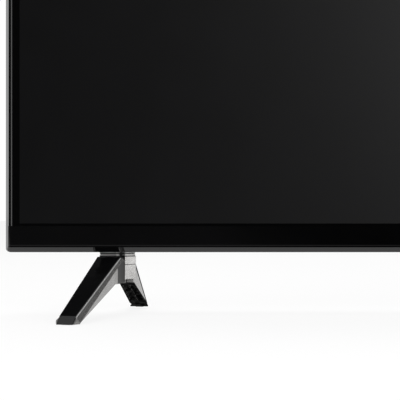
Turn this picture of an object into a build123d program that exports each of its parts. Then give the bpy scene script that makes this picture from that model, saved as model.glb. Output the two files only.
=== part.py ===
"""A flat screen television on two splayed feet. Lengths are in millimetres.

The screen faces -Y, +Z is up and +X is to the right of someone who watches it. The origin is on
the floor under the middle of the cabinet, halfway between the front and the rear toes.
"""
import os
from math import cos, radians, sin

from build123d import *

# Clearances and overruns
fit = 0.3                  # gap around a piece that is pushed in, or that moves
thread_gap = 0.1           # gap between a screw and its thread
overrun = 4.0              # how far a cutting shape passes the face that it cuts

# Whole set
active_width = 941.2       # lit picture area
active_height = 529.4
bezel = 14.9               # picture area to the cabinet's edge, at the sides and the top
chin_reach = 28.7          # picture area to the cabinet's lower edge
floor_gap = 63.0           # floor to the cabinet's lower edge
foot_reach = 226.0         # front toe to rear toe
toe_setback = 108.0        # front toe to the front face of the cabinet

# Front frame
frame_wall = 5.1
frame_floor = 2.0          # thickness of the frame below the display
lip_thickness = 1.2
lip_reach = 7.6            # rim of the frame that shows around the glass
side_bevel = 4.3           # outer bevel at the sides and the top
lower_bevel = 5.1          # height of the bevel that faces down, below the chin
lower_bevel_depth = 6.0
side_bevel_depth = 11.0
inner_bevel = 0.9
corner_radius = 3.5
frame_depth = 20.0         # front face to the joint with the rear cover
rail_height = 24.0         # lower rail, which the chin bar covers

# Chin bar
chin_top_gap = 2.3         # black border that shows between the chin and the picture area
chin_proud = 1.5
chin_end_bevel = 2.0
chin_edge_gap = 3.9        # from the cabinet's side to the chin's end
chin_step = 2.2            # height of the fine step along the chin's lower edge
chin_step_depth = 0.5
chin_return = 2.0          # thickness of the return that reaches back to the glass

# Display stack, from the glass backwards
panel_gap = 0.6            # frame wall to the display
cell_lower_border = 12.3   # picture area to the lower edge of the glass
cell_thickness = 1.4
ledge_thickness = 1.5
ledge_margin = 1.9         # picture area to the edge of the panel frame's opening
panel_frame_wall = 1.6
sheet_gap = 0.4
prism_thickness = 0.4
diffuser_sheet_thickness = 0.4
diffuser_plate_thickness = 1.5
reflector_thickness = 0.4
cavity_depth = 19.0        # diffuser plate to the reflector's floor
flange_width = 6.0
tray_slope = 40.0          # how far the tray's sloped sides run in
pan_thickness = 0.8

# Light bars
led_bar_count = 4
led_bar_width = 16.0
led_bar_margin = 21.8      # light bar's end to the foot of the tray's slope
led_board_thickness = 1.2
led_per_bar = 9
led_lens_radius = 8.0
led_lens_height = 4.5
led_hole_radius = 9.0

# Source boards, tails and ribbons
source_board_width = 300.0
source_board_height = 8.0
source_board_thickness = 1.2
source_board_spacing = 330.0
source_board_rise = 7.6    # cabinet's lower edge to the source boards
tail_width = 34.0
tail_count = 12
tail_reach = 7.5
tail_thickness = 0.2
ribbon_thickness = 0.4
ribbon_width = 26.0

# Rear cover
cover_wall = 2.5
cover_edge_step = 0.6      # how far the cover's edge lies inside the front frame's edge
slim_depth = 12.0          # front frame's back edge to the cover's flat back
slim_slope = 10.0          # how far the cover's edge slopes in, at the sides and the top
belly_side_margin = 85.5   # cabinet's side to the belly's side
belly_rise = 3.0           # cabinet's lower edge to the belly's
belly_height = 374.0
belly_depth = 30.0
belly_side_slope = 24.0
belly_foot_slope = 24.0
belly_radius = 12.0
recess_width = 57.5        # socket recess, measured from the belly's side
recess_margin = 6.0        # socket panel to the recess's lower and upper walls
inlet_recess_margin = 19.0
vent_width = 4.0
vent_height = 26.0
vent_pitch = 15.0
vent_count = 8
vent_rise = 46.0           # belly's lower edge to the lower row of slots
vent_drop = 78.0           # belly's top to the foot of the upper row
vent_centre = 215.0
speaker_slot_width = 3.0
speaker_slot_count = 10
speaker_slot_pitch = 9.0
speaker_slot_setback = 5.0 # cover's flat back to the slots
speaker_slot_length = 15.0

# Fixings on the back
mount_spacing = 200.0      # wall mount pattern, across and up
mount_rise = 237.0         # cabinet's lower edge to the pattern's middle
mount_post_radius = 7.0
mount_thread_radius = 3.0
mount_hole_radius = 3.4
mount_thread_depth = 18.0
cover_screw_radius = 1.5
cover_screw_head = 3.0
cover_screw_head_height = 1.6
cover_boss_radius = 3.6
cover_boss_inset = 17.0    # panel frame's wall to the screw's axis
cover_screw_length = 9.0
side_screw_shares = (0.15, 0.47, 0.79)
top_screw_shares = (-0.75, -0.25, 0.25, 0.75)

# Circuit boards
board_gap = 6.0            # pan to a board
board_thickness = 1.6
post_radius = 3.0
board_screw_head = 2.8
board_screw_head_height = 1.8
board_screw_radius = 1.4
board_corner = 7.0         # board's edge to a fixing's axis
board_recess_gap = 3.5     # recess's inner wall to the outer edges of the two large boards
board_mount_gap = 30.0     # wall mount posts to their inner edges
power_board_drop = 72.0    # power inlet's middle to the power board's lower edge
power_board_height = 165.0
main_board_margin = 13.0   # socket panel to the main board's lower and upper edges
timing_board_width = 150.0
timing_board_rise = 71.0   # cabinet's lower edge to the timing board
timing_board_height = 40.0

# Parts on the boards, placed by shares of the board's width and height
transformer_shares = ((0.30, 0.48), (0.75, 0.48))
capacitor_shares = (0.25, 0.80)
power_heatsink_shares = ((0.75, 0.80), (0.62, 0.16))
main_heatsink_shares = (0.40, 0.53)
transformer_size = 36.0
transformer_depth = 22.0
transformer_core = 5.0
capacitor_radius = 10.0
capacitor_length = 22.0
capacitor_pitch = 24.0
fin_thickness = 1.5
heatsink_depth = 20.0
power_heatsink_size = 40.0
power_fin_count = 4
main_heatsink_size = 44.0
main_fin_count = 9

# Sockets, one above another: a body's size is along Z, Y and X
socket_gap = 4.0
hdmi_size = (15.0, 6.2, 13.0)
usb_size = (14.0, 7.0, 15.0)
optical_size = (10.0, 10.5, 14.0)
ethernet_size = (16.0, 13.6, 18.0)
antenna_rise = 145.0       # cabinet's lower edge to the antenna socket
tuner_size = (30.0, 13.0, 42.0)
antenna_radius = 4.75
antenna_length = 9.0
headphone_size = (9.0, 7.0, 14.0)
headphone_bore = 1.8
headphone_window = 3.3     # radius of the hole in front of it in the socket panel
av_count = 3
av_pitch = 13.0
av_ring_radius = 4.2
av_length = 10.0
socket_wall = 1.0
io_panel_thickness = 2.0
io_panel_margin = 6.0
inlet_rise = 179.0         # cabinet's lower edge to the power inlet
inlet_size = (22.0, 13.0, 20.0)
inlet_pin_radius = 1.2
inlet_pin_spacing = 8.6
inlet_wall = 2.0

# Speakers
speaker_width = 128.0
speaker_height = 40.0
speaker_side_gap = 86.0    # belly's side to the speaker box
speaker_rise = 31.0        # cabinet's lower edge to the speaker box
speaker_wall = 2.0
driver_length = 70.0
driver_width = 24.0
driver_height = 5.0
lead_radius = 1.2

# Remote sensor
sensor_inset = 43.5        # foot's tongue to the sensor, towards the middle
sensor_width = 24.0
sensor_depth = 8.0
sensor_drop = 3.0
sensor_height = 9.0
sensor_board_thickness = 1.2

# Push buttons
button_inset = 29.5        # cabinet's side to the buttons' middle
button_rise = 127.0        # cabinet's lower edge to the lowest button
button_pitch = 24.0
button_width = 7.0
button_height = 13.0
button_proud = 1.2
button_travel = 0.6
button_flange = 1.2
button_flange_margin = 1.5
button_stem_radius = 1.5
button_stem = 1.3
switch_size = 6.0
switch_height = 3.5
key_board_width = 10.0
key_board_margin = 12.0
key_board_thickness = 1.2
key_post_radius = 2.4

# Feet: the left one, each leg measured from its toe
collar_height = 5.0
hub_depth = 26.4
toe_height = 7.8
toe_rake = 9.5             # the toe's tip to the upper edge of its sloping front
toe_contact = 10.0         # length of the toe that lies on the floor
front_toe_lift = 1.4       # underside of the leg above the floor, next to the toe
front_leg_turn = 15.7      # degrees, away from straight back
front_toe_out = 41.5       # tongue's middle to the toe, towards the cabinet's side
front_toe_width = 15.6
front_root_width = 24.2
front_level = 4.7          # level stretch of the front leg's top, in front of the hub
front_underside_run = -20.0  # end of the top's slope to the end of the underside's
front_root_run = 11.0      # end of the top's slope to the leg's end, inside the hub
rear_toe_lift = 3.0
rear_leg_turn = 6.85
rear_toe_in = 19.2         # tongue's middle to the toe, towards the middle
rear_toe_width = 11.5
rear_root_width = 11.5
rear_underside_run = 4.0
rear_root_run = 9.0
toe_chamfer = 4.2
toe_chamfer_drop = 5.8
root_chamfer = 2.2
root_chamfer_drop = 3.4
leg_wall = 2.0
leg_roof = 2.6
leg_rib = 1.4
leg_rib_count = 4
hollow_start = 24.0        # toe to the hollow under the leg
hollow_margin = 8.0        # hollow's end to the hub
column_in = 18.0           # tongue's middle to the column's inner side
column_width = 14.6
column_forward = 7.0       # tongue's middle to the front of the hub
column_chamfer = 4.4
column_lift = 3.6          # underside of the column above the underside of the legs' roots
column_facet = 7.0         # how far the column's front turns back towards its inner side
hub_out = 18.5             # tongue's middle to the hub's outer side
hub_side_back = 2.0        # tongue's middle to the back end of that side
hub_back = 8.9             # tongue's middle to the hub's back
hub_taper_back = 24.0      # tongue's middle to where the hub would be as wide as the rear leg
hub_back_width = 18.7
foot_cover_thickness = 1.0
collar_inset = 0.6
collar_plate = 1.9         # the two bright plates of the collar
collar_back = 7.5          # tongue's middle to the collar's back
tongue_height = 13.0
tongue_width = 20.0
tongue_depth = 6.0
tongue_inset = 112.0       # cabinet's side to the tongue's middle
tongue_setback = 4.0       # frame's back edge to the tongue's middle
socket_wall_front = 2.4
socket_wall_back = 1.8
socket_block_margin = 3.0
pad_reveal = 0.5           # how far the pads lift the feet
pad_thickness = 1.6
pad_length = 4.8
pad_width = 8.0
pad_start = 4.0
foot_screw_radius = 2.0
foot_screw_head = 3.6
foot_screw_head_height = 2.6
foot_screw_spacing = 11.0
foot_screw_seat = 5.4      # hub's top to the screw heads' seat

# Places that follow from the sizes above
cabinet_width = active_width + 2 * bezel
cabinet_height = active_height + bezel + chin_reach
cabinet_base = floor_gap
cabinet_top = cabinet_base + cabinet_height
half_width = cabinet_width / 2
active_base = cabinet_base + chin_reach
front_y = toe_setback - foot_reach / 2
frame_back_y = front_y + frame_depth
rail_top = cabinet_base + rail_height

cell_y = front_y + lip_thickness
ledge_y = cell_y + cell_thickness
prism_y = ledge_y + ledge_thickness
diffuser_sheet_y = prism_y + prism_thickness
diffuser_plate_y = diffuser_sheet_y + diffuser_sheet_thickness
reflector_y = diffuser_plate_y + diffuser_plate_thickness
pan_y = reflector_y + reflector_thickness
reflector_floor_y = reflector_y + cavity_depth
led_board_y = reflector_floor_y + reflector_thickness
pan_floor_y = led_board_y + led_board_thickness
pan_back_y = pan_floor_y + pan_thickness

panel_half_width = half_width - frame_wall - panel_gap
panel_base = active_base - cell_lower_border
panel_top = cabinet_top - frame_wall - panel_gap
panel_frame_back_y = frame_back_y - sheet_gap
sheet_inset = panel_frame_wall + sheet_gap
tray_inset = sheet_inset + flange_width

slim_back_y = frame_back_y + slim_depth
slim_inner_y = slim_back_y - cover_wall
belly_back_y = slim_back_y + belly_depth
belly_inner_y = belly_back_y - cover_wall
cover_bottom = cabinet_base + cover_edge_step
cover_inner_bottom = cover_bottom + cover_wall
belly_half = half_width - belly_side_margin
belly_base = cabinet_base + belly_rise
belly_top = belly_base + belly_height
recess_x = belly_half - recess_width
mount_centre = cabinet_base + mount_rise

board_y = pan_back_y + board_gap
board_back_y = board_y + board_thickness
board_edge = recess_x - board_recess_gap
board_inner = mount_spacing / 2 + mount_post_radius + board_mount_gap

# Heights of the sockets: the antenna's is the lowest, and the jacks for sound and picture the highest
antenna_height = cabinet_base + antenna_rise
io_base = antenna_height - tuner_size[0] / 2
stack_top = antenna_height + tuner_size[0] / 2
stacked_heights = []
for tall, deep, long in (
    ethernet_size, optical_size, usb_size, hdmi_size, hdmi_size, headphone_size
):
    stacked_heights.append(stack_top + socket_gap + tall / 2)
    stack_top += socket_gap + tall
ethernet_height, optical_height, usb_height = stacked_heights[:3]
hdmi_heights = stacked_heights[3:5]
headphone_height = stacked_heights[5]
av_heights = [stack_top + socket_gap + (index + 1 / 2) * av_pitch for index in range(av_count)]
io_top = av_heights[-1] + av_pitch / 2
recess_base = io_base - recess_margin
recess_top = io_top + recess_margin

inlet_height = cabinet_base + inlet_rise
inlet_recess_base = inlet_height - inlet_size[0] / 2 - inlet_recess_margin
inlet_recess_top = inlet_height + inlet_size[0] / 2 + inlet_recess_margin

# Places of the feet: the left foot hangs from a tongue that stands in the cover's floor
hub_top = cabinet_base - collar_height
hub_underside = hub_top - hub_depth
tongue_x = tongue_inset - half_width
tongue_y = frame_back_y + tongue_setback
column_right_x = tongue_x + column_in
column_front_y = tongue_y - column_forward
hub_left_x = tongue_x - hub_out


def facing(y):
    """Plane that faces the viewer at depth y. Its own axes run along X and Z."""
    return Plane.XZ.offset(-y)


def rectangle_between(left, right, base, top):
    """Draw a rectangle from its four sides in the sketch that is open."""
    with Locations(((left + right) / 2, (base + top) / 2)):
        Rectangle(right - left, top - base)


def rounded_between(left, right, base, top, radius):
    """Draw a rectangle with round corners in the sketch that is open."""
    with Locations(((left + right) / 2, (base + top) / 2)):
        RectangleRounded(right - left, top - base, radius)


def block(x, y, z, mode=Mode.ADD):
    """Add or cut a box from its low and high places along X, Y and Z."""
    with Locations(((x[0] + x[1]) / 2, (y[0] + y[1]) / 2, (z[0] + z[1]) / 2)):
        Box(x[1] - x[0], y[1] - y[0], z[1] - z[0], mode=mode)


def rod(x, z, front, back, radius, mode=Mode.ADD):
    """Add or cut a round rod that runs from front to back."""
    with Locations((x, (front + back) / 2, z)):
        Cylinder(radius, back - front, rotation=(90, 0, 0), mode=mode)


def rods(places, front, back, radius, mode=Mode.ADD):
    """Add or cut like rods at several places, each given by X and Z."""
    with BuildSketch(facing(front)) as circles:
        with Locations(*places):
            Circle(radius)
    extrude(circles.sketch, amount=front - back, mode=mode)


def panel_sheet(inset, front, thickness):
    """A flat layer of the display, inset from the panel frame's outer edge."""
    with BuildPart() as layer:
        with BuildSketch(facing(front)):
            side = panel_half_width - inset
            rectangle_between(-side, side, panel_base + inset, panel_top - inset)
        extrude(amount=-thickness)
    return layer


# Front frame: a moulded rim with a wall round the display and a lip in front of the glass
def frame_outline(side_inset, base_inset):
    """Draw the frame's outline, drawn in at the sides and the top, and at the base."""
    side = half_width - side_inset
    rounded_between(-side, side, cabinet_base + base_inset, cabinet_top - side_inset, corner_radius)


with BuildPart() as front_frame:
    with BuildSketch(facing(front_y)):
        frame_outline(side_bevel, lower_bevel)
    with BuildSketch(facing(front_y + lower_bevel_depth)):
        frame_outline(side_bevel * (1 - lower_bevel_depth / side_bevel_depth), 0)
    with BuildSketch(facing(front_y + side_bevel_depth)):
        frame_outline(0, 0)
    loft(ruled=True)
    with BuildSketch(facing(front_y + side_bevel_depth)):
        frame_outline(0, 0)
    extrude(amount=side_bevel_depth - frame_depth)
    inside = (frame_wall - half_width, half_width - frame_wall)
    rail_floor = cabinet_base + lower_bevel + frame_floor
    block(
        inside,
        (cell_y, frame_back_y + overrun),
        (rail_floor, cabinet_top - frame_wall),
        mode=Mode.SUBTRACT,
    )
    block(
        inside,
        (front_y + lower_bevel_depth, frame_back_y + overrun),
        (cabinet_base + frame_floor, rail_floor + overrun),
        mode=Mode.SUBTRACT,
    )
    window_side = half_width - lip_reach
    window_top = cabinet_top - lip_reach
    block(
        (-window_side, window_side),
        (front_y - overrun, cell_y + overrun),
        (rail_top, window_top),
        mode=Mode.SUBTRACT,
    )
    with BuildSketch(facing(front_y)):
        bevelled = window_side + inner_bevel
        rectangle_between(-bevelled, bevelled, rail_top - inner_bevel, window_top + inner_bevel)
    with BuildSketch(facing(front_y + inner_bevel)):
        rectangle_between(-window_side, window_side, rail_top, window_top)
    loft(ruled=True, mode=Mode.SUBTRACT)
    sensor_y = front_y + frame_depth / 2 - sensor_depth / 2
    sensor_offset = -tongue_x - sensor_inset
    block(
        (sensor_offset - sensor_width / 2 - fit, sensor_offset + sensor_width / 2 + fit),
        (sensor_y - fit, sensor_y + sensor_depth + fit),
        (cabinet_base - overrun, cabinet_base + frame_floor + overrun),
        mode=Mode.SUBTRACT,
    )
front_frame.part.label = "front_frame"

# Chin bar: a gloss strip on the frame's lower rail, with bevelled ends and a return to the glass
chin_top = active_base - chin_top_gap
chin_base = cabinet_base + lower_bevel
chin_half = half_width - chin_edge_gap
with BuildPart() as chin_bar:
    with BuildSketch(Plane.XY.offset(chin_base)):
        with BuildLine():
            Polyline(
                (-chin_half, front_y),
                (chin_end_bevel - chin_half, front_y - chin_proud),
                (chin_half - chin_end_bevel, front_y - chin_proud),
                (chin_half, front_y),
                close=True,
            )
        make_face()
    extrude(amount=chin_top - chin_base)
    block(
        (-half_width, half_width),
        (front_y - chin_proud - overrun, front_y - chin_proud + chin_step_depth),
        (chin_base - overrun, chin_base + chin_step),
        mode=Mode.SUBTRACT,
    )
    block(
        (fit - window_side, window_side - fit),
        (front_y, cell_y),
        (chin_top - chin_return, chin_top),
    )
chin_bar.part.label = "chin_bar"

# Display: the cell, the moulded frame behind it, and the sheets that rest in that frame
lcd_cell = panel_sheet(0, cell_y, cell_thickness)
lcd_cell.part.label = "lcd_cell"
prism_sheet = panel_sheet(sheet_inset, prism_y, prism_thickness)
prism_sheet.part.label = "prism_sheet"
diffuser_sheet = panel_sheet(sheet_inset, diffuser_sheet_y, diffuser_sheet_thickness)
diffuser_sheet.part.label = "diffuser_sheet"
diffuser_plate = panel_sheet(sheet_inset, diffuser_plate_y, diffuser_plate_thickness)
diffuser_plate.part.label = "diffuser_plate"

side_boss_x = panel_half_width - cover_boss_inset
top_boss_z = panel_top - cover_boss_inset
side_bosses = [
    (side * side_boss_x, cabinet_base + share * cabinet_height)
    for side in (-1, 1)
    for share in side_screw_shares
]
top_bosses = [(share * panel_half_width, top_boss_z) for share in top_screw_shares]
boss_front_y = panel_frame_back_y - ledge_thickness * 2
with BuildPart() as panel_frame:
    block(
        (-panel_half_width, panel_half_width),
        (ledge_y, panel_frame_back_y),
        (panel_base, panel_top),
    )
    inner_side = panel_half_width - panel_frame_wall
    block(
        (-inner_side, inner_side),
        (prism_y, panel_frame_back_y + overrun),
        (panel_base + panel_frame_wall, panel_top - panel_frame_wall),
        mode=Mode.SUBTRACT,
    )
    ledge_side = active_width / 2 + ledge_margin
    block(
        (-ledge_side, ledge_side),
        (ledge_y - overrun, prism_y + overrun),
        (active_base - ledge_margin, active_base + active_height + ledge_margin),
        mode=Mode.SUBTRACT,
    )
    for x, z in side_bosses:
        reach = panel_half_width - panel_frame_wall / 2
        low, high = (-reach, x) if x < 0 else (x, reach)
        block(
            (low, high),
            (boss_front_y, panel_frame_back_y),
            (z - cover_boss_radius, z + cover_boss_radius),
        )
    for x, z in top_bosses:
        block(
            (x - cover_boss_radius, x + cover_boss_radius),
            (boss_front_y, panel_frame_back_y),
            (z, panel_top - panel_frame_wall / 2),
        )
    bosses = side_bosses + top_bosses
    bore = cover_screw_radius + thread_gap
    rods(bosses, boss_front_y, slim_inner_y, cover_boss_radius)
    rods(bosses, panel_frame_back_y, slim_inner_y + overrun, bore, mode=Mode.SUBTRACT)
panel_frame.part.label = "panel_frame"


# Light tray: a pressed steel pan lined with a folded white sheet
def tray_rectangle(inset):
    """Draw the tray's opening, drawn in by inset on all sides."""
    side = panel_half_width - tray_inset - inset
    rectangle_between(-side, side, panel_base + tray_inset + inset, panel_top - tray_inset - inset)


def tray(front, depth, thickness):
    """A flanged tray with sloped sides, made of one sheet."""
    with BuildPart() as pressed:
        with BuildSketch(facing(front + thickness)):
            tray_rectangle(0)
        with BuildSketch(facing(front + depth + thickness)):
            tray_rectangle(tray_slope)
        loft(ruled=True)
        with BuildSketch(facing(front)):
            tray_rectangle(-flange_width)
        extrude(amount=-thickness)
        with BuildSketch(facing(front)):
            tray_rectangle(0)
        with BuildSketch(facing(front + depth)):
            tray_rectangle(tray_slope)
        loft(ruled=True, mode=Mode.SUBTRACT)
    return pressed


led_bar_half = panel_half_width - tray_inset - tray_slope - led_bar_margin
led_pitch = 2 * led_bar_half / led_per_bar
led_row_pitch = active_height / led_bar_count
active_middle = active_base + active_height / 2
led_columns = [(index - (led_per_bar - 1) / 2) * led_pitch for index in range(led_per_bar)]
led_rows = [
    active_middle + (index - (led_bar_count - 1) / 2) * led_row_pitch
    for index in range(led_bar_count)
]

led_places = [(x, z) for x in led_columns for z in led_rows]

reflector = tray(reflector_y, reflector_floor_y - reflector_y, reflector_thickness)
with BuildPart() as reflector_sheet:
    add(reflector.part)
    hole_front = reflector_floor_y - reflector_thickness
    rods(led_places, hole_front, led_board_y + overrun, led_hole_radius, mode=Mode.SUBTRACT)
reflector_sheet.part.label = "reflector_sheet"

backlight_pan = tray(pan_y, pan_floor_y - pan_y, pan_thickness)
backlight_pan.part.label = "backlight_pan"

with BuildPart() as led_bars:
    for z in led_rows:
        block(
            (-led_bar_half, led_bar_half),
            (led_board_y, pan_floor_y),
            (z - led_bar_width / 2, z + led_bar_width / 2),
        )
led_bars.part.label = "led_bars"

with BuildPart() as led_lenses:
    rods(led_places, led_board_y - led_lens_height, led_board_y, led_lens_radius)
    lens_faces = led_lenses.faces().filter_by(Axis.Y).group_by(Axis.Y)[0]
    fillet(lens_faces.edges(), radius=led_lens_height / 2)
led_lenses.part.label = "led_lenses"

# Source boards stand behind the chin. Flex tails join them to the cell, ribbons to the timing board
source_front_y = cell_y + cell_thickness / 2 + tail_thickness
source_board_base = cabinet_base + source_board_rise
with BuildPart() as source_boards:
    for side in (-1, 1):
        middle = side * source_board_spacing / 2
        block(
            (middle - source_board_width / 2, middle + source_board_width / 2),
            (source_front_y, source_front_y + source_board_thickness),
            (source_board_base, source_board_base + source_board_height),
        )
source_boards.part.label = "source_boards"

tail_pitch = 2 * source_board_width / tail_count
with BuildPart() as flex_tails:
    for side in (-1, 1):
        middle = side * source_board_spacing / 2
        for index in range(tail_count // 2):
            x = middle + (index - (tail_count // 2 - 1) / 2) * tail_pitch
            block(
                (x - tail_width / 2, x + tail_width / 2),
                (source_front_y - tail_thickness, source_front_y),
                (panel_base - tail_reach, panel_base),
            )
flex_tails.part.label = "flex_tails"

timing_board_base = cabinet_base + timing_board_rise
timing_board_top = timing_board_base + timing_board_height


def ribbon(points, x, width):
    """A flat ribbon cable whose line is given by places along Y and Z."""
    with BuildPart() as cable:
        with BuildSketch(Plane.YZ.offset(x - width / 2)):
            with BuildLine():
                Polyline(*points)
            trace(line_width=ribbon_thickness)
        extrude(amount=width)
    return cable


source_back_y = source_front_y + source_board_thickness + ribbon_thickness / 2
ribbon_level = source_board_base + source_board_height / 2
ribbon_rise_y = slim_inner_y - fit - ribbon_thickness / 2
ribbon_points = [
    (source_back_y, ribbon_level - ribbon_width / 8),
    (source_back_y, ribbon_level),
    (ribbon_rise_y, ribbon_level + cover_wall),
    (ribbon_rise_y, timing_board_base - board_corner),
    (board_y - ribbon_thickness / 2, timing_board_base + ribbon_thickness),
    (board_y - ribbon_thickness / 2, timing_board_base + board_corner),
]
with BuildPart() as panel_ribbons:
    for side in (-1, 1):
        add(ribbon(ribbon_points, side * timing_board_width / 4, ribbon_width).part)
panel_ribbons.part.label = "panel_ribbons"


# Circuit boards stand on threaded posts on the pan's back
def board(left, right, base, top):
    """A circuit board with a fixing hole in each corner."""
    with BuildPart() as plate:
        block((left, right), (board_y, board_back_y), (base, top))
        corners = [
            (x, z)
            for x in (left + board_corner, right - board_corner)
            for z in (base + board_corner, top - board_corner)
        ]
        hole = board_screw_radius + thread_gap
        rods(corners, board_y - overrun, board_back_y + overrun, hole, mode=Mode.SUBTRACT)
    return plate


timing_half = timing_board_width / 2
power_board_base = inlet_height - power_board_drop
main_board_base = io_base - main_board_margin
board_places = {
    "power": (-board_edge, -board_inner, power_board_base, power_board_base + power_board_height),
    "main": (board_inner, board_edge, main_board_base, io_top + main_board_margin),
    "timing": (-timing_half, timing_half, timing_board_base, timing_board_top),
}
power_board = board(*board_places["power"])
power_board.part.label = "power_board"
main_board = board(*board_places["main"])
main_board.part.label = "main_board"
timing_board = board(*board_places["timing"])
timing_board.part.label = "timing_board"

board_fixings = []
for left, right, base, top in board_places.values():
    for x in (left + board_corner, right - board_corner):
        for z in (base + board_corner, top - board_corner):
            board_fixings.append((x, z))

with BuildPart() as board_posts:
    bore = board_screw_radius + thread_gap
    rods(board_fixings, pan_back_y, board_y, post_radius)
    rods(board_fixings, pan_back_y + pan_thickness, board_y + overrun, bore, mode=Mode.SUBTRACT)
board_posts.part.label = "board_posts"

with BuildPart() as board_screws:
    head_back = board_back_y + board_screw_head_height
    rods(board_fixings, board_back_y, head_back, board_screw_head)
    rods(board_fixings, pan_back_y + 2 * pan_thickness, board_back_y, board_screw_radius)
board_screws.part.label = "board_screws"

mount_places = [
    (x, z)
    for x in (-mount_spacing / 2, mount_spacing / 2)
    for z in (mount_centre - mount_spacing / 2, mount_centre + mount_spacing / 2)
]
with BuildPart() as wall_mount_posts:
    rods(mount_places, pan_back_y, belly_inner_y, mount_post_radius)
    thread_front = belly_inner_y - mount_thread_depth
    thread_back = belly_inner_y + overrun
    rods(mount_places, thread_front, thread_back, mount_thread_radius, mode=Mode.SUBTRACT)
wall_mount_posts.part.label = "wall_mount_posts"


# Parts that stand on the large boards
def on_board(name, shares):
    """A place on a board, from shares of its width and height."""
    left, right, base, top = board_places[name]
    return left + shares[0] * (right - left), base + shares[1] * (top - base)


def finned_block(left, right, base, top, depth, fin_count):
    """A heatsink on a board: a base plate with upright fins."""
    front = board_back_y
    pitch = (right - left - fin_thickness) / (fin_count - 1)
    block((left, right), (front, front + fin_thickness), (base, top))
    for index in range(fin_count):
        fin = left + index * pitch
        block((fin, fin + fin_thickness), (front, front + depth), (base, top))


with BuildPart() as power_transformers:
    for shares in transformer_shares:
        x, z = on_board("power", shares)
        core = transformer_size / 2
        winding_front = board_back_y + transformer_core
        winding_back = board_back_y + transformer_depth - transformer_core
        block((x - core, x + core), (board_back_y, winding_front), (z - core, z + core))
        rod(x, z, winding_front, winding_back, core - transformer_core / 2)
        back = board_back_y + transformer_depth
        block((x - core, x + core), (winding_back, back), (z - core, z + core))
power_transformers.part.label = "power_transformers"

with BuildPart() as power_capacitors:
    middle_x, middle_z = on_board("power", capacitor_shares)
    steps = (-capacitor_pitch / 2, capacitor_pitch / 2)
    capacitor_places = [(middle_x + across, middle_z + up) for across in steps for up in steps]
    rods(capacitor_places, board_back_y, board_back_y + capacitor_length, capacitor_radius)
    chamfer(power_capacitors.edges().group_by(Axis.Y)[-1], length=capacitor_radius / 8)
power_capacitors.part.label = "power_capacitors"

with BuildPart() as power_heatsinks:
    for shares in power_heatsink_shares:
        x, z = on_board("power", shares)
        span = power_heatsink_size / 2
        fin_count = power_fin_count
        finned_block(x - span / 2, x + span / 2, z - span, z + span, heatsink_depth, fin_count)
power_heatsinks.part.label = "power_heatsinks"

with BuildPart() as main_heatsink:
    x, z = on_board("main", main_heatsink_shares)
    span = main_heatsink_size / 2
    depth = heatsink_depth / 2
    finned_block(x - span, x + span, z - span, z + span, depth, main_fin_count)
main_heatsink.part.label = "main_heatsink"


# Sockets on the edge of the main board, which face the side recess of the rear cover
def socket_shell(height, size, front=board_back_y):
    """A hollow socket body that opens to the side. Size is along Z, Y and X."""
    tall, deep, long = size
    y = (front, front + deep)
    block((recess_x - long, recess_x), y, (height - tall / 2, height + tall / 2))
    block(
        (recess_x - long + 2 * socket_wall, recess_x + overrun),
        (y[0] + socket_wall, y[1] - socket_wall),
        (height - tall / 2 + socket_wall, height + tall / 2 - socket_wall),
        mode=Mode.SUBTRACT,
    )


def side_rod(left, right, y, z, radius, mode=Mode.ADD):
    """Add or cut a round rod that runs from left to right."""
    with Locations(((left + right) / 2, y, z)):
        Cylinder(radius, right - left, rotation=(0, 90, 0), mode=mode)


def socket_tongue(height, size, front=board_back_y):
    """The contact tongue in the middle of a socket."""
    tall, deep, long = size
    middle = front + deep / 2
    thin = socket_wall / 2
    block(
        (recess_x - long + socket_wall, recess_x - 2 * socket_wall),
        (middle - thin, middle + thin),
        (height - tall / 2 + 3 * socket_wall, height + tall / 2 - 3 * socket_wall),
    )


with BuildPart() as hdmi_sockets:
    for height in hdmi_heights:
        socket_shell(height, hdmi_size)
        socket_tongue(height, hdmi_size)
hdmi_sockets.part.label = "hdmi_sockets"

with BuildPart() as usb_socket:
    socket_shell(usb_height, usb_size)
    socket_tongue(usb_height, usb_size)
usb_socket.part.label = "usb_socket"

with BuildPart() as optical_socket:
    socket_shell(optical_height, optical_size)
optical_socket.part.label = "optical_socket"

with BuildPart() as ethernet_socket:
    socket_shell(ethernet_height, ethernet_size)
ethernet_socket.part.label = "ethernet_socket"

io_right = recess_x - fit
io_left = io_right - io_panel_thickness
with BuildPart() as headphone_jack:
    tall, deep, long = headphone_size
    block(
        (io_left - long, io_left),
        (board_back_y, board_back_y + deep),
        (headphone_height - tall / 2, headphone_height + tall / 2),
    )
    axis_y = board_back_y + deep / 2
    bottom_x = io_left - long + 2 * socket_wall
    bore = headphone_bore
    side_rod(bottom_x, io_left + overrun, axis_y, headphone_height, bore, mode=Mode.SUBTRACT)
headphone_jack.part.label = "headphone_jack"

with BuildPart() as tuner_can:
    tall, deep, long = tuner_size
    block(
        (board_edge - long, board_edge),
        (board_back_y, board_back_y + deep),
        (antenna_height - tall / 2, antenna_height + tall / 2),
    )
    axis_y = board_back_y + deep / 2
    antenna_end = board_edge + antenna_length
    side_rod(board_edge, antenna_end, axis_y, antenna_height, antenna_radius)
    bore = headphone_bore / 2
    side_rod(board_edge, antenna_end + overrun, axis_y, antenna_height, bore, mode=Mode.SUBTRACT)
tuner_can.part.label = "tuner_can"

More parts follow.
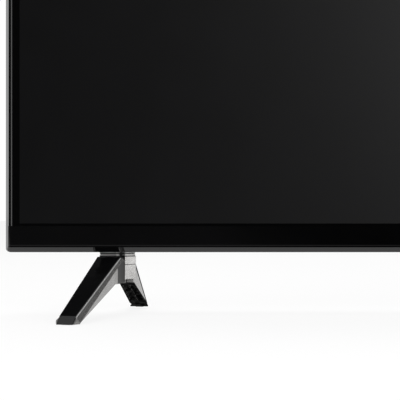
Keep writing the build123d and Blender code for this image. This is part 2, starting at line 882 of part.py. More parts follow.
with BuildPart() as av_jacks:
    axis_y = board_back_y + av_pitch / 2
    block(
        (recess_x - av_length - av_pitch, recess_x - av_length),
        (board_back_y, board_back_y + av_pitch),
        (av_heights[0] - av_pitch / 2, av_heights[-1] + av_pitch / 2),
    )
    for height in av_heights:
        side_rod(recess_x - av_length, recess_x, axis_y, height, av_ring_radius)
        bore = av_ring_radius - socket_wall
        bore_bottom = recess_x - av_length
        side_rod(bore_bottom, recess_x + overrun, axis_y, height, bore, mode=Mode.SUBTRACT)
        side_rod(bore_bottom, recess_x, axis_y, height, bore / 2)
av_jacks.part.label = "av_jacks"

# Socket panel: a plate in the recess's inner wall, with a hole for each socket
io_front_y = board_back_y - board_thickness / 2
io_back_y = board_back_y + tuner_size[1] + io_panel_margin / 2
with BuildPart() as io_panel:
    block((io_left, io_right), (io_front_y, io_back_y), (io_base, io_top))
    through = (io_left - overrun, io_right + overrun)
    rectangular = [(height, hdmi_size) for height in hdmi_heights]
    rectangular += [(usb_height, usb_size), (optical_height, optical_size)]
    rectangular += [(ethernet_height, ethernet_size)]
    for height, size in rectangular:
        tall, deep, long = size
        block(
            through,
            (board_back_y - fit, board_back_y + deep + fit),
            (height - tall / 2 - fit, height + tall / 2 + fit),
            mode=Mode.SUBTRACT,
        )
    axis_y = board_back_y + av_pitch / 2
    for height in av_heights:
        side_rod(*through, axis_y, height, av_ring_radius + fit, mode=Mode.SUBTRACT)
    axis_y = board_back_y + tuner_size[1] / 2
    side_rod(*through, axis_y, antenna_height, antenna_radius + fit, mode=Mode.SUBTRACT)
    axis_y = board_back_y + headphone_size[1] / 2
    side_rod(*through, axis_y, headphone_height, headphone_window, mode=Mode.SUBTRACT)
io_panel.part.label = "io_panel"

# Power inlet, which faces the recess on the other side
with BuildPart() as ac_inlet:
    tall, deep, long = inlet_size
    inlet_y = (board_back_y, board_back_y + deep)
    block((-recess_x, long - recess_x), inlet_y, (inlet_height - tall / 2, inlet_height + tall / 2))
    block(
        (-recess_x - overrun, long - recess_x - inlet_wall),
        (inlet_y[0] + inlet_wall, inlet_y[1] - inlet_wall),
        (inlet_height - tall / 2 + inlet_wall, inlet_height + tall / 2 - inlet_wall),
        mode=Mode.SUBTRACT,
    )
    axis_y = board_back_y + deep / 2
    for side in (-1, 1):
        pin_z = inlet_height + side * inlet_pin_spacing / 2
        side_rod(inlet_wall - recess_x, long - recess_x, axis_y, pin_z, inlet_pin_radius)
ac_inlet.part.label = "ac_inlet"


# Speakers lie in the belly and fire down through its slots
def mirrored(piece):
    """The same piece on the other side of the cabinet."""
    with BuildPart() as twin:
        mirror(piece.part, about=Plane.YZ)
    return twin


speaker_left = speaker_side_gap - belly_half
speaker_right = speaker_left + speaker_width
speaker_offset = -(speaker_left + speaker_right) / 2
speaker_base = cabinet_base + speaker_rise
speaker_slot_start = slim_back_y + speaker_slot_setback
speaker_front_y = slim_inner_y + fit
speaker_back_y = belly_inner_y - fit
driver_middle_y = speaker_slot_start + speaker_slot_length / 2
driver_y = (driver_middle_y - driver_width / 2, driver_middle_y + driver_width / 2)
driver_x = (-speaker_offset - driver_length / 2, driver_length / 2 - speaker_offset)
with BuildPart() as left_speaker_box:
    speaker_z = (speaker_base, speaker_base + speaker_height)
    block((speaker_left, speaker_right), (speaker_front_y, speaker_back_y), speaker_z)
    fillet(left_speaker_box.edges().filter_by(Axis.Y), radius=speaker_wall * 2)
    block(
        (speaker_left + speaker_wall, speaker_right - speaker_wall),
        (speaker_front_y + speaker_wall, speaker_back_y - speaker_wall),
        (speaker_base + speaker_wall, speaker_z[1] - speaker_wall),
        mode=Mode.SUBTRACT,
    )
    block(
        (driver_x[0] + speaker_wall, driver_x[1] - speaker_wall),
        (driver_y[0] + speaker_wall, driver_y[1] - speaker_wall),
        (speaker_base - overrun, speaker_base + overrun),
        mode=Mode.SUBTRACT,
    )
with BuildPart() as left_speaker_driver:
    driver_base = speaker_base - driver_height
    block(driver_x, driver_y, (driver_base, speaker_base))
    fillet(left_speaker_driver.edges().filter_by(Axis.Z), radius=driver_width / 3)
    cone_edge = driver_width / 2 - speaker_wall
    with BuildSketch(Plane.XY.offset(driver_base)):
        with Locations((-speaker_offset, driver_middle_y)):
            SlotOverall(driver_length - 2 * speaker_wall, 2 * cone_edge)
    with BuildSketch(Plane.XY.offset(driver_base + driver_height / 2)):
        with Locations((-speaker_offset, driver_middle_y)):
            SlotOverall(driver_length - cone_edge * 2, cone_edge)
    loft(mode=Mode.SUBTRACT)
right_speaker_box = mirrored(left_speaker_box)
right_speaker_driver = mirrored(left_speaker_driver)

# Remote sensor: a smoky lens below the frame, with its small board behind it
with BuildPart() as remote_sensor_window:
    block(
        (sensor_offset - sensor_width / 2, sensor_offset + sensor_width / 2),
        (sensor_y, sensor_y + sensor_depth),
        (cabinet_base - sensor_drop, cabinet_base - sensor_drop + sensor_height),
    )
    fillet(remote_sensor_window.edges().group_by(Axis.Z)[0], radius=sensor_drop / 2)
remote_sensor_window.part.label = "remote_sensor_window"
with BuildPart() as remote_sensor_board:
    board_base = cabinet_base - sensor_drop + sensor_height
    block(
        (sensor_offset - sensor_width, sensor_offset + sensor_width),
        (sensor_y, sensor_y + sensor_depth + 2 * sensor_board_thickness),
        (board_base, board_base + sensor_board_thickness),
    )
remote_sensor_board.part.label = "remote_sensor_board"

# Push buttons on the back: each cap has a flange inside the cover and a stem over its switch
button_names = ("power_button", "input_button", "volume_down_button", "volume_up_button")
button_offset = half_width - button_inset
button_base = cabinet_base + button_rise
button_heights = [button_base + index * button_pitch for index in range(len(button_names))]
flange_back_y = slim_inner_y - fit
flange_front_y = flange_back_y - button_flange
stem_front_y = flange_front_y - button_stem
switch_back_y = stem_front_y - button_travel - thread_gap
key_board_back_y = switch_back_y - switch_height
key_board_front_y = key_board_back_y - key_board_thickness


def push_button(z):
    """A button cap with its retaining flange and its stem."""
    with BuildPart() as cap:
        half_x = button_width / 2
        half_z = button_height / 2
        x = button_offset
        block(
            (x - half_x, x + half_x),
            (flange_back_y, slim_back_y + button_proud),
            (z - half_z, z + half_z),
        )
        fillet(cap.edges().filter_by(Axis.Y), radius=button_width / 4)
        chamfer(cap.edges().group_by(Axis.Y)[-1], length=button_proud / 3)
        margin = button_flange_margin
        block(
            (x - half_x - margin, x + half_x + margin),
            (flange_front_y, flange_back_y),
            (z - half_z - margin, z + half_z + margin),
        )
        rod(x, z, stem_front_y, flange_front_y, button_stem_radius)
    return cap


with BuildPart() as tact_switches:
    for z in button_heights:
        block(
            (button_offset - switch_size / 2, button_offset + switch_size / 2),
            (key_board_back_y, switch_back_y),
            (z - switch_size / 2, z + switch_size / 2),
        )
tact_switches.part.label = "tact_switches"

key_board_z = (button_heights[0] - key_board_margin * 2, button_heights[-1] + key_board_margin * 2)
key_post_places = [
    (button_offset, key_board_z[0] + key_post_radius * 2),
    (button_offset, key_board_z[1] - key_post_radius * 2),
]
with BuildPart() as key_board:
    block(
        (button_offset - key_board_width / 2, button_offset + key_board_width / 2),
        (key_board_front_y, key_board_back_y),
        key_board_z,
    )
key_board.part.label = "key_board"


# Rear cover: one moulded shell, with a flat rim, a deeper belly, and recesses for the sockets
def slim_outline(y, inset):
    """Draw the flat rim's outline at depth y, drawn in by inset."""
    slope = slim_slope * (y - frame_back_y) / slim_depth
    side = half_width - cover_edge_step - slope - inset
    top = cabinet_top - cover_edge_step - slope - inset
    rounded_between(-side, side, cover_bottom + inset, top, corner_radius)


def belly_outline(y, inset):
    """Draw the belly's outline at depth y, drawn in by inset."""
    share = (y - slim_back_y) / belly_depth
    side = belly_half - belly_side_slope * share - inset
    base = belly_base + belly_foot_slope * share + inset
    top = belly_top - belly_side_slope * share - inset
    rounded_between(-side, side, base, top, belly_radius)


belly_slope_length = (belly_side_slope**2 + belly_depth**2) ** (1 / 2)
belly_wall_across = cover_wall * belly_slope_length / belly_depth
recesses = [
    (1, recess_base, recess_top),
    (-1, inlet_recess_base, inlet_recess_top),
]


def recess_block(side, base, top, margin):
    """Cut the space of a socket recess, grown on its inner sides by a margin."""
    near = side * (recess_x - margin)
    far = side * (belly_half + overrun)
    block(
        (min(near, far), max(near, far)),
        (slim_back_y - margin, belly_back_y + overrun),
        (base - margin, top + margin),
        mode=Mode.SUBTRACT,
    )


with BuildPart() as cover_cavity:
    with BuildSketch(facing(frame_back_y)):
        slim_outline(frame_back_y, cover_wall)
    with BuildSketch(facing(slim_inner_y)):
        slim_outline(slim_inner_y, cover_wall)
    loft(ruled=True)
    with BuildSketch(facing(slim_inner_y)):
        belly_outline(slim_inner_y, belly_wall_across)
    with BuildSketch(facing(belly_inner_y)):
        belly_outline(belly_inner_y, belly_wall_across)
    loft(ruled=True)
    for side, base, top in recesses:
        recess_block(side, base, top, cover_wall)

with BuildPart() as rear_cover:
    with BuildSketch(facing(frame_back_y)):
        slim_outline(frame_back_y, 0)
    with BuildSketch(facing(slim_back_y)):
        slim_outline(slim_back_y, 0)
    loft(ruled=True)
    with BuildSketch(facing(slim_back_y)):
        belly_outline(slim_back_y, 0)
    with BuildSketch(facing(belly_back_y)):
        belly_outline(belly_back_y, 0)
    loft(ruled=True)
    for side, base, top in recesses:
        recess_block(side, base, top, 0)
    add(cover_cavity.part, mode=Mode.SUBTRACT)
    # Windows for the socket panel and the inlet
    wall_inside = recess_x - cover_wall - overrun
    block(
        (wall_inside, recess_x + overrun),
        (io_front_y - fit, io_back_y + fit),
        (io_base - fit, io_top + fit),
        mode=Mode.SUBTRACT,
    )
    tall, deep, long = inlet_size
    block(
        (-recess_x - overrun, -wall_inside),
        (board_back_y - fit, board_back_y + deep + fit),
        (inlet_height - tall / 2 - fit, inlet_height + tall / 2 + fit),
        mode=Mode.SUBTRACT,
    )
    # Holes for the wall mount, the cover's screws and the buttons
    outside = belly_back_y + overrun
    inside = belly_inner_y - overrun
    rods(mount_places, inside, outside, mount_hole_radius, mode=Mode.SUBTRACT)
    outside = slim_back_y + overrun
    inside = slim_inner_y - overrun
    rods(bosses, inside, outside, cover_screw_radius + fit, mode=Mode.SUBTRACT)
    screw_seat_y = slim_back_y - cover_screw_head_height
    rods(bosses, screw_seat_y, outside, cover_screw_head + fit, mode=Mode.SUBTRACT)
    with BuildSketch(facing(inside)):
        with Locations(*[(button_offset, z) for z in button_heights]):
            RectangleRounded(button_width + 2 * fit, button_height + 2 * fit, button_width / 4)
    extrude(amount=inside - outside, mode=Mode.SUBTRACT)
    # Air slots, and sound slots below the speakers
    vent_places = [
        (side * vent_centre + (index - (vent_count - 1) / 2) * vent_pitch, base + vent_height / 2)
        for side in (-1, 1)
        for base in (belly_base + vent_rise, belly_top - vent_drop)
        for index in range(vent_count)
    ]
    with BuildSketch(facing(belly_inner_y - overrun / 2)):
        with Locations(*vent_places):
            Rectangle(vent_width, vent_height)
    extrude(amount=-cover_wall - overrun, mode=Mode.SUBTRACT)
    slot_middle_y = speaker_slot_start + speaker_slot_length / 2
    slot_places = [
        (side * speaker_offset + (index - (speaker_slot_count - 1) / 2) * speaker_slot_pitch,
         slot_middle_y)
        for side in (-1, 1)
        for index in range(speaker_slot_count)
    ]
    with BuildSketch(Plane.XY.offset(cabinet_base - overrun)):
        with Locations(*slot_places):
            Rectangle(speaker_slot_width, speaker_slot_length)
    slot_top = speaker_base - driver_height - fit
    extrude(amount=slot_top - cabinet_base + overrun, mode=Mode.SUBTRACT)
    # Holes in the floor for the tongues of the feet
    for side in (-1, 1):
        x = side * abs(tongue_x)
        block(
            (x - tongue_width / 2 - fit, x + tongue_width / 2 + fit),
            (tongue_y - tongue_depth / 2 - fit, tongue_y + tongue_depth / 2 + fit),
            (cabinet_base - overrun, cover_inner_bottom + overrun),
            mode=Mode.SUBTRACT,
        )
    # Posts that carry the key board
    rods(key_post_places, key_board_back_y, slim_inner_y, key_post_radius)
rear_cover.part.label = "rear_cover"

with BuildPart() as rear_cover_screws:
    rods(bosses, screw_seat_y, slim_back_y, cover_screw_head)
    rods(bosses, screw_seat_y - cover_screw_length, screw_seat_y, cover_screw_radius)
rear_cover_screws.part.label = "rear_cover_screws"


# Leads inside the belly
def lead(points, radii):
    """A round lead along a route of straight runs and arcs."""
    with BuildPart() as cable:
        with BuildLine() as route:
            FilletPolyline(*points, radius=radii)
        with BuildSketch(Plane(origin=route.line @ 0, z_dir=route.line % 0)):
            Circle(lead_radius)
        sweep(path=route.line)
    return cable


lead_y = board_back_y + 3 * lead_radius
lead_low_z = speaker_base + speaker_height / 2
main_left = board_places["main"][0]
power_right = board_places["power"][1]
plug_size = 4 * lead_radius
lead_bend = 8 * lead_radius


def lead_plug(x, z):
    """A small plug on a board, where a lead ends."""
    block(
        (x - plug_size / 2, x + plug_size / 2),
        (board_back_y, lead_y + plug_size / 2),
        (z - plug_size / 2, z + plug_size / 2),
    )


left_plug = (main_left + plug_size, main_board_base + 4 * plug_size)
right_plug = (main_left + 3 * plug_size, main_board_base + 4 * plug_size)
with BuildPart() as speaker_leads:
    route = [
        (speaker_right, lead_y, lead_low_z),
        (left_plug[0], lead_y, lead_low_z),
        (left_plug[0], lead_y, left_plug[1] - plug_size / 2),
    ]
    add(lead(route, lead_bend).part)
    route = [
        (-speaker_right, lead_y, lead_low_z),
        (right_plug[0], lead_y, lead_low_z),
        (right_plug[0], lead_y, right_plug[1] - plug_size / 2),
    ]
    add(lead(route, lead_bend).part)
    lead_plug(*left_plug)
    lead_plug(*right_plug)
speaker_leads.part.label = "speaker_leads"

power_plug_z = power_board_base + power_board_height / 2
with BuildPart() as power_lead:
    power_plug = (power_right - plug_size, power_plug_z)
    main_plug = (main_left + plug_size, power_plug_z)
    route = [
        (power_plug[0] + plug_size / 2, lead_y, power_plug_z),
        (main_plug[0] - plug_size / 2, lead_y, power_plug_z),
    ]
    with BuildLine() as straight:
        Line(*route)
    with BuildSketch(Plane(origin=straight.line @ 0, z_dir=straight.line % 0)):
        Circle(lead_radius)
    sweep(path=straight.line)
    lead_plug(*power_plug)
    lead_plug(*main_plug)
power_lead.part.label = "power_lead"

with BuildPart() as signal_ribbon:
    ribbon_left = timing_board_width / 4 - ribbon_width / 2
    ribbon_low = timing_board_top - board_corner - ribbon_width
    ribbon_high = main_board_base + 6 * plug_size
    with BuildSketch(facing(board_back_y)):
        with BuildLine():
            Polyline(
                (ribbon_left, ribbon_low),
                (ribbon_left + ribbon_width, ribbon_low),
                (ribbon_left + ribbon_width, ribbon_high),
                (main_left + board_corner, ribbon_high),
                (main_left + board_corner, ribbon_high + ribbon_width),
                (ribbon_left, ribbon_high + ribbon_width),
                close=True,
            )
        make_face()
    extrude(amount=-ribbon_thickness)
signal_ribbon.part.label = "signal_ribbon"

# Stand sockets: blocks on the cover's floor that take the tongues of the feet and their screws
tongue_y_span = (tongue_y - tongue_depth / 2, tongue_y + tongue_depth / 2)
tongue_top = hub_top + tongue_height
socket_top = panel_base - sheet_gap
screw_places = [tongue_x + side * foot_screw_spacing / 2 for side in (-1, 1)]
with BuildPart() as left_stand_socket:
    block(
        (
            tongue_x - tongue_width / 2 - fit - socket_block_margin,
            tongue_x + tongue_width / 2 + fit + socket_block_margin,
        ),
        (tongue_y_span[0] - fit - socket_wall_front, tongue_y_span[1] + fit + socket_wall_back),
        (cover_inner_bottom, socket_top),
    )
    block(
        (tongue_x - tongue_width / 2 - fit, tongue_x + tongue_width / 2 + fit),
        (tongue_y_span[0] - fit, tongue_y_span[1] + fit),
        (cover_inner_bottom - overrun, tongue_top + fit),
        mode=Mode.SUBTRACT,
    )
    for x in screw_places:
        with Locations((x, tongue_y, tongue_top)):
            Cylinder(
                foot_screw_radius + thread_gap,
                socket_top - tongue_top,
                align=(Align.CENTER, Align.CENTER, Align.MIN),
                mode=Mode.SUBTRACT,
            )
with BuildPart() as stand_sockets:
    add(left_stand_socket.part)
    mirror(left_stand_socket.part, about=Plane.YZ)
stand_sockets.part.label = "stand_sockets"


# Feet: two hollow legs that meet in a hub. The left foot is drawn, the right one mirrors it
class Leg:
    """One leg, measured along its own line from the toe towards the hub."""

    def __init__(self, x, y, turn, toe_width, root_width, toe_lift, slope_end, underside_end, length):
        self.x, self.y = x, y
        self.toe_lift = toe_lift
        self.along = (sin(radians(turn)), cos(radians(turn)), 0)
        self.across = (cos(radians(turn)), -sin(radians(turn)), 0)
        self.toe_half = toe_width / 2
        self.root_half = root_width / 2
        self.slope_end = slope_end
        self.underside_end = underside_end
        self.length = length
        self.slope = (hub_top - toe_height) / (slope_end - toe_rake)
        self.cover_drop = foot_cover_thickness * (1 + self.slope**2) ** (1 / 2)
        self.toe_slope = (toe_height - pad_reveal) / toe_rake
        self.cover_run = foot_cover_thickness * (1 + self.toe_slope**2) ** (1 / 2) / self.toe_slope
        meeting = self.top(0) - self.cover_drop - pad_reveal + self.cover_run * self.toe_slope
        self.body_start = meeting / (self.toe_slope - self.slope)

    def top(self, u):
        """Height of the cover's top at u."""
        return toe_height + (u - toe_rake) * self.slope

    def half(self, u):
        """Half the cover's width at u."""
        return self.toe_half + (self.root_half - self.toe_half) * u / self.slope_end

    def chamfer(self, u):
        """Width of the bevel along each upper edge at u."""
        return toe_chamfer + (root_chamfer - toe_chamfer) * u / self.slope_end

    def chamfer_drop(self, u):
        """Height of that bevel at u."""
        return toe_chamfer_drop + (root_chamfer_drop - toe_chamfer_drop) * u / self.slope_end

    def floor_plane(self):
        """Plane on the floor, with its first axis along the leg."""
        return Plane(origin=(self.x, self.y, 0), x_dir=self.along, z_dir=(0, 0, 1))

    def side_plane(self):
        """Upright plane through the leg's middle, with its first axis along the leg."""
        return Plane(origin=(self.x, self.y, 0), x_dir=self.along, z_dir=self.across)

    def station(self, u):
        """Upright plane across the leg at u."""
        origin = (self.x + u * self.along[0], self.y + u * self.along[1], 0)
        towards_toe = (-self.along[0], -self.along[1], 0)
        return Plane(origin=origin, x_dir=self.across, z_dir=towards_toe)


front_toe_y = front_toe_width / 2 * sin(radians(front_leg_turn)) - foot_reach / 2
rear_toe_y = foot_reach / 2 - rear_toe_width / 2 * sin(radians(rear_leg_turn))
rear_slope_y = tongue_y + hub_back
front_slope_end = (column_front_y - front_toe_y) / cos(radians(front_leg_turn)) - front_level
rear_slope_end = (rear_toe_y - rear_slope_y) / cos(radians(rear_leg_turn))
front_leg = Leg(
    tongue_x - front_toe_out, front_toe_y, front_leg_turn, front_toe_width, front_root_width,
    front_toe_lift, front_slope_end, front_slope_end + front_underside_run, front_slope_end + front_root_run,
)
rear_leg = Leg(
    tongue_x + rear_toe_in, rear_toe_y, 180 + rear_leg_turn, rear_toe_width, rear_root_width,
    rear_toe_lift, rear_slope_end, rear_slope_end + rear_underside_run, rear_slope_end + rear_root_run,
)


def leg_outline(leg, u):
    """Draw the body's section at u: upright walls with a bevel along each upper edge."""
    top = leg.top(u) - leg.cover_drop
    narrow = leg.half(u)
    wide = narrow + leg.chamfer(u)
    bevel_base = top - leg.chamfer_drop(u)
    Polygon(
        (-wide, 0),
        (wide, 0),
        (wide, bevel_base),
        (narrow, top),
        (-narrow, top),
        (-wide, bevel_base),
        align=None,
    )


def hollow_outline(leg, u):
    """Draw the section of the hollow under the leg at u."""
    side = leg.half(u) + leg.chamfer(u) - leg_wall
    rectangle_between(-side, side, -overrun, leg.top(u) - leg.cover_drop - leg_roof)


def leg_body(leg):
    """A hollow leg, open underneath, with ribs across it and one along it."""
    body_start = leg.body_start
    hollow_end = min(leg.slope_end, leg.underside_end) - hollow_margin
    with BuildPart() as hollow:
        with BuildSketch(leg.station(hollow_start)):
            hollow_outline(leg, hollow_start)
        with BuildSketch(leg.station(hollow_end)):
            hollow_outline(leg, hollow_end)
        loft(ruled=True)
        rib_pitch = (hollow_end - hollow_start) / (leg_rib_count + 1)
        for index in range(leg_rib_count):
            rib = hollow_start + (index + 1) * rib_pitch
            with BuildSketch(leg.station(rib - leg_rib / 2)):
                rectangle_between(-leg.root_half * 2, leg.root_half * 2, -overrun * 2, hub_top)
            extrude(amount=-leg_rib, mode=Mode.SUBTRACT)
        with BuildSketch(leg.side_plane()):
            rectangle_between(0, leg.length, -overrun * 2, hub_top)
        extrude(amount=leg_rib / 2, both=True, mode=Mode.SUBTRACT)
    with BuildPart() as body:
        with BuildSketch(leg.station(body_start)):
            leg_outline(leg, body_start)
        with BuildSketch(leg.station(leg.slope_end)):
            leg_outline(leg, leg.slope_end)
        loft(ruled=True)
        with BuildSketch(leg.station(leg.slope_end)):
            leg_outline(leg, leg.slope_end)
        extrude(amount=leg.slope_end - leg.length)
        with BuildSketch(leg.station(body_start)):
            leg_outline(leg, body_start)
        extrude(amount=body_start)
        add(hollow.part, mode=Mode.SUBTRACT)
        # The toe's corners are bevelled and its front slopes. The underside rises from it to the hub
        with BuildSketch(leg.floor_plane()):
            wide = leg.half(body_start) + leg.chamfer(body_start)
            for side in (-1, 1):
                with BuildLine():
                    Polyline(
                        (-overrun, side * leg.half(body_start)),
                        (-overrun, side * wide * 2),
                        (leg.cover_run + 2 * toe_chamfer, side * wide * 2),
                        (leg.cover_run + 2 * toe_chamfer, side * wide),
                        (leg.cover_run, side * leg.half(body_start)),
                        close=True,
                    )
                make_face()
        extrude(amount=hub_top, mode=Mode.SUBTRACT)
        with BuildSketch(leg.side_plane()):
            with BuildLine():
                Polyline(
                    (-overrun, pad_reveal),
                    (leg.cover_run, pad_reveal),
                    (body_start, leg.top(body_start) - leg.cover_drop),
                    (body_start, hub_top),
                    (-overrun, hub_top),
                    close=True,
                )
            make_face()
        extrude(amount=leg.root_half * 2, both=True, mode=Mode.SUBTRACT)
        with BuildSketch(leg.side_plane()):
            with BuildLine():
                Polyline(
                    (-overrun, -overrun),
                    (-overrun, pad_reveal),
                    (toe_contact, pad_reveal),
                    (toe_contact, leg.toe_lift),
                    (leg.underside_end, hub_underside),
                    (leg.length + overrun, hub_underside),
                    (leg.length + overrun, -overrun),
                    close=True,
                )
            make_face()
        extrude(amount=leg.root_half * 2, both=True, mode=Mode.SUBTRACT)
    return body


def leg_cover(leg):
    """The gloss strip on a leg: it runs down the top and over the front of the toe."""
    seat = leg.cover_drop
    with BuildPart() as strip:
        with BuildSketch(leg.side_plane()):
            with BuildLine():
                Polyline(
                    (0, pad_reveal),
                    (toe_rake, toe_height),
                    (leg.slope_end, hub_top),
                    (leg.slope_end, hub_top - seat),
                    (leg.body_start, leg.top(leg.body_start) - seat),
                    (leg.cover_run, pad_reveal),
                    close=True,
                )
            make_face()
        extrude(amount=leg.root_half * 2, both=True)
        with BuildSketch(leg.floor_plane()):
            with BuildLine():
                Polyline(
                    (0, -leg.half(0)),
                    (leg.slope_end, -leg.root_half),
                    (leg.slope_end, leg.root_half),
                    (0, leg.half(0)),
                    close=True,
                )
            make_face()
        extrude(amount=hub_top, mode=Mode.INTERSECT)
    return strip


def pad_block(leg, margin, mode=Mode.ADD):
    """The pad under a toe, or with a margin the pocket that it sits in."""
    with BuildSketch(leg.floor_plane()) as outline:
        half_wide = pad_width / 2 + margin
        rectangle_between(pad_start - margin, pad_start + pad_length + margin, -half_wide, half_wide)
    extrude(outline.sketch, amount=pad_thickness, mode=mode)


def hub_outline(inset, back):
    """Draw the hub's plan: a column at the inner side, and the roots of both legs."""
    column_left = column_right_x - column_width
    Polygon(
        (column_right_x - inset, column_front_y + column_facet + inset),
        (column_right_x - inset, back),
        (hub_back_left(back) + inset, back),
        (hub_left_x + inset, tongue_y + hub_side_back),
        (hub_left_x + inset, column_front_y + inset),
        (column_left - column_chamfer, column_front_y + inset),
        (column_left, column_front_y + column_chamfer + inset),
        (column_left + column_chamfer, column_front_y + inset),
        align=None,
    )


def hub_back_left(back):
    """Left edge of the hub's plan at its back."""
    share = (back - tongue_y - hub_side_back) / (hub_taper_back - hub_side_back)
    return hub_left_x + share * (column_right_x - hub_back_width - hub_left_x)


front_body = leg_body(front_leg)
rear_body = leg_body(rear_leg)
front_strip = leg_cover(front_leg)
rear_strip = leg_cover(rear_leg)

with BuildPart() as left_foot_cover:
    add(front_strip.part)
    add(rear_strip.part)

with BuildPart() as left_foot_body:
    with BuildSketch(Plane.XY.offset(hub_underside + column_lift)):
        hub_outline(0, rear_slope_y)
    extrude(amount=hub_top - hub_underside - column_lift)
    add(front_body.part)
    add(rear_body.part)
    add(left_foot_cover.part, mode=Mode.SUBTRACT)
    block(
        (tongue_x - tongue_width / 2, tongue_x + tongue_width / 2),
        tongue_y_span,
        (hub_underside + overrun, tongue_top),
    )
    for leg in (front_leg, rear_leg):
        pad_block(leg, thread_gap, mode=Mode.SUBTRACT)
    for x in screw_places:
        seat = hub_top - foot_screw_seat
        for radius, low, high in (
            (foot_screw_radius + thread_gap, seat - overrun, tongue_top + overrun),
            (foot_screw_head + fit, hub_underside - overrun, seat),
        ):
            with Locations((x, tongue_y, low)):
                Cylinder(
                    radius,
                    high - low,
                    align=(Align.CENTER, Align.CENTER, Align.MIN),
                    mode=Mode.SUBTRACT,
                )

with BuildPart() as left_foot_collar:
    collar_back_y = tongue_y + collar_back
    with BuildSketch(Plane.XY.offset(hub_top)):
        hub_outline(collar_inset, collar_back_y)
    extrude(amount=collar_plate)
    with BuildSketch(Plane.XY.offset(hub_top + collar_plate)):
        hub_outline(2 * collar_inset, collar_back_y - collar_inset)
    extrude(amount=collar_height - 2 * collar_plate)
    with BuildSketch(Plane.XY.offset(cabinet_base - collar_plate)):
        hub_outline(collar_inset, collar_back_y)
    extrude(amount=collar_plate)
    block(
        (tongue_x - tongue_width / 2 - thread_gap, tongue_x + tongue_width / 2 + thread_gap),
        (tongue_y_span[0] - thread_gap, tongue_y_span[1] + thread_gap),
        (hub_top - overrun, cabinet_base + overrun),
        mode=Mode.SUBTRACT,
    )

with BuildPart() as left_foot_pads:
    for leg in (front_leg, rear_leg):
        pad_block(leg, 0)

with BuildPart() as left_foot_screws:
    for x in screw_places:
        seat = hub_top - foot_screw_seat
        for radius, low, high in (
            (foot_screw_head, seat - foot_screw_head_height, seat),
            (foot_screw_radius, seat, socket_top - thread_gap),
        ):
            with Locations((x, tongue_y, low)):
                Cylinder(radius, high - low, align=(Align.CENTER, Align.CENTER, Align.MIN))

with BuildPart() as foot_pads:
    add(left_foot_pads.part)
    mirror(left_foot_pads.part, about=Plane.YZ)
foot_pads.part.label = "foot_pads"
with BuildPart() as foot_screws:
    add(left_foot_screws.part)
    mirror(left_foot_screws.part, about=Plane.YZ)
foot_screws.part.label = "foot_screws"

# Every piece is written to a file of its own
os.makedirs("parts", exist_ok=True)
for piece in (
    front_frame, chin_bar, lcd_cell, panel_frame, prism_sheet, diffuser_sheet, diffuser_plate,
    reflector_sheet, led_bars, led_lenses, backlight_pan, source_boards, flex_tails,
    panel_ribbons, timing_board, signal_ribbon, main_board, main_heatsink, tuner_can,
    hdmi_sockets, usb_socket, av_jacks, optical_socket, ethernet_socket, headphone_jack,
    io_panel, power_board, power_transformers, power_capacitors, power_heatsinks, ac_inlet,
    power_lead, speaker_leads, remote_sensor_window, remote_sensor_board, key_board,
    tact_switches, board_posts, board_screws, wall_mount_posts, rear_cover, rear_cover_screws,
    stand_sockets, foot_pads, foot_screws,
):
    export_step(piece.part, f"parts/{piece.part.label}.step")

pairs = {
    "speaker_box": left_speaker_box,
    "speaker_driver": left_speaker_driver,
    "foot_body": left_foot_body,
    "foot_cover": left_foot_cover,
    "foot_collar": left_foot_collar,
}
for name, left_piece in pairs.items():
    left_piece.part.label = f"left_{name}"
    export_step(left_piece.part, f"parts/left_{name}.step")
    right_piece = mirrored(left_piece)
    right_piece.part.label = f"right_{name}"
    export_step(right_piece.part, f"parts/right_{name}.step")

for name, z in zip(button_names, button_heights):
    button = push_button(z)
    button.part.label = name
    export_step(button.part, f"parts/{name}.step")
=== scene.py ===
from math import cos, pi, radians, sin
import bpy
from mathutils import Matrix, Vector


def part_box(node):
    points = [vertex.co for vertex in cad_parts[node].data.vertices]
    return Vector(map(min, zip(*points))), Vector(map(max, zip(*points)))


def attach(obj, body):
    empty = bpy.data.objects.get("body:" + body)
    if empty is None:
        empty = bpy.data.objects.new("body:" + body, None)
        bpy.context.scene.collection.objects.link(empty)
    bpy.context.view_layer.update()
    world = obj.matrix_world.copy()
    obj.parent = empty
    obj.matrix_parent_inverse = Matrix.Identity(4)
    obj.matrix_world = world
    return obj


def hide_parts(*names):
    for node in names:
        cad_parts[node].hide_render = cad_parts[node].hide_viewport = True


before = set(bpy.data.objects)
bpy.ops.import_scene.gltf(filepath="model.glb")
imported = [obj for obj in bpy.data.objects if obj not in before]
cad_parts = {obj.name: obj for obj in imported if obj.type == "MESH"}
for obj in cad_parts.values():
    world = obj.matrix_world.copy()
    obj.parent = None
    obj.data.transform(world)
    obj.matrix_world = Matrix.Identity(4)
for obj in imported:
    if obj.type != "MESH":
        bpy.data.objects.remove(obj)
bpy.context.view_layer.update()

# Studio: a white paper sweep on a table and a dim room on the viewer's side, so that black gloss
# stays black while bevels and bright metal catch the paper. The camera stands low before the foot.
from types import SimpleNamespace

import bmesh
import bpy
from mathutils import Matrix, Vector

scene = bpy.context.scene
scene.view_settings.view_transform = "Standard"

camera_data = bpy.data.cameras.new("camera")
camera_data.lens = 119.7
camera_data.sensor_width = 36.0
camera_data.clip_start = 0.01
camera = bpy.data.objects.new("camera", camera_data)
camera.location = (-0.2898, -1.335, 0.1154)
camera.rotation_euler = (radians(90), 0, 0)
scene.collection.objects.link(camera)
scene.camera = camera


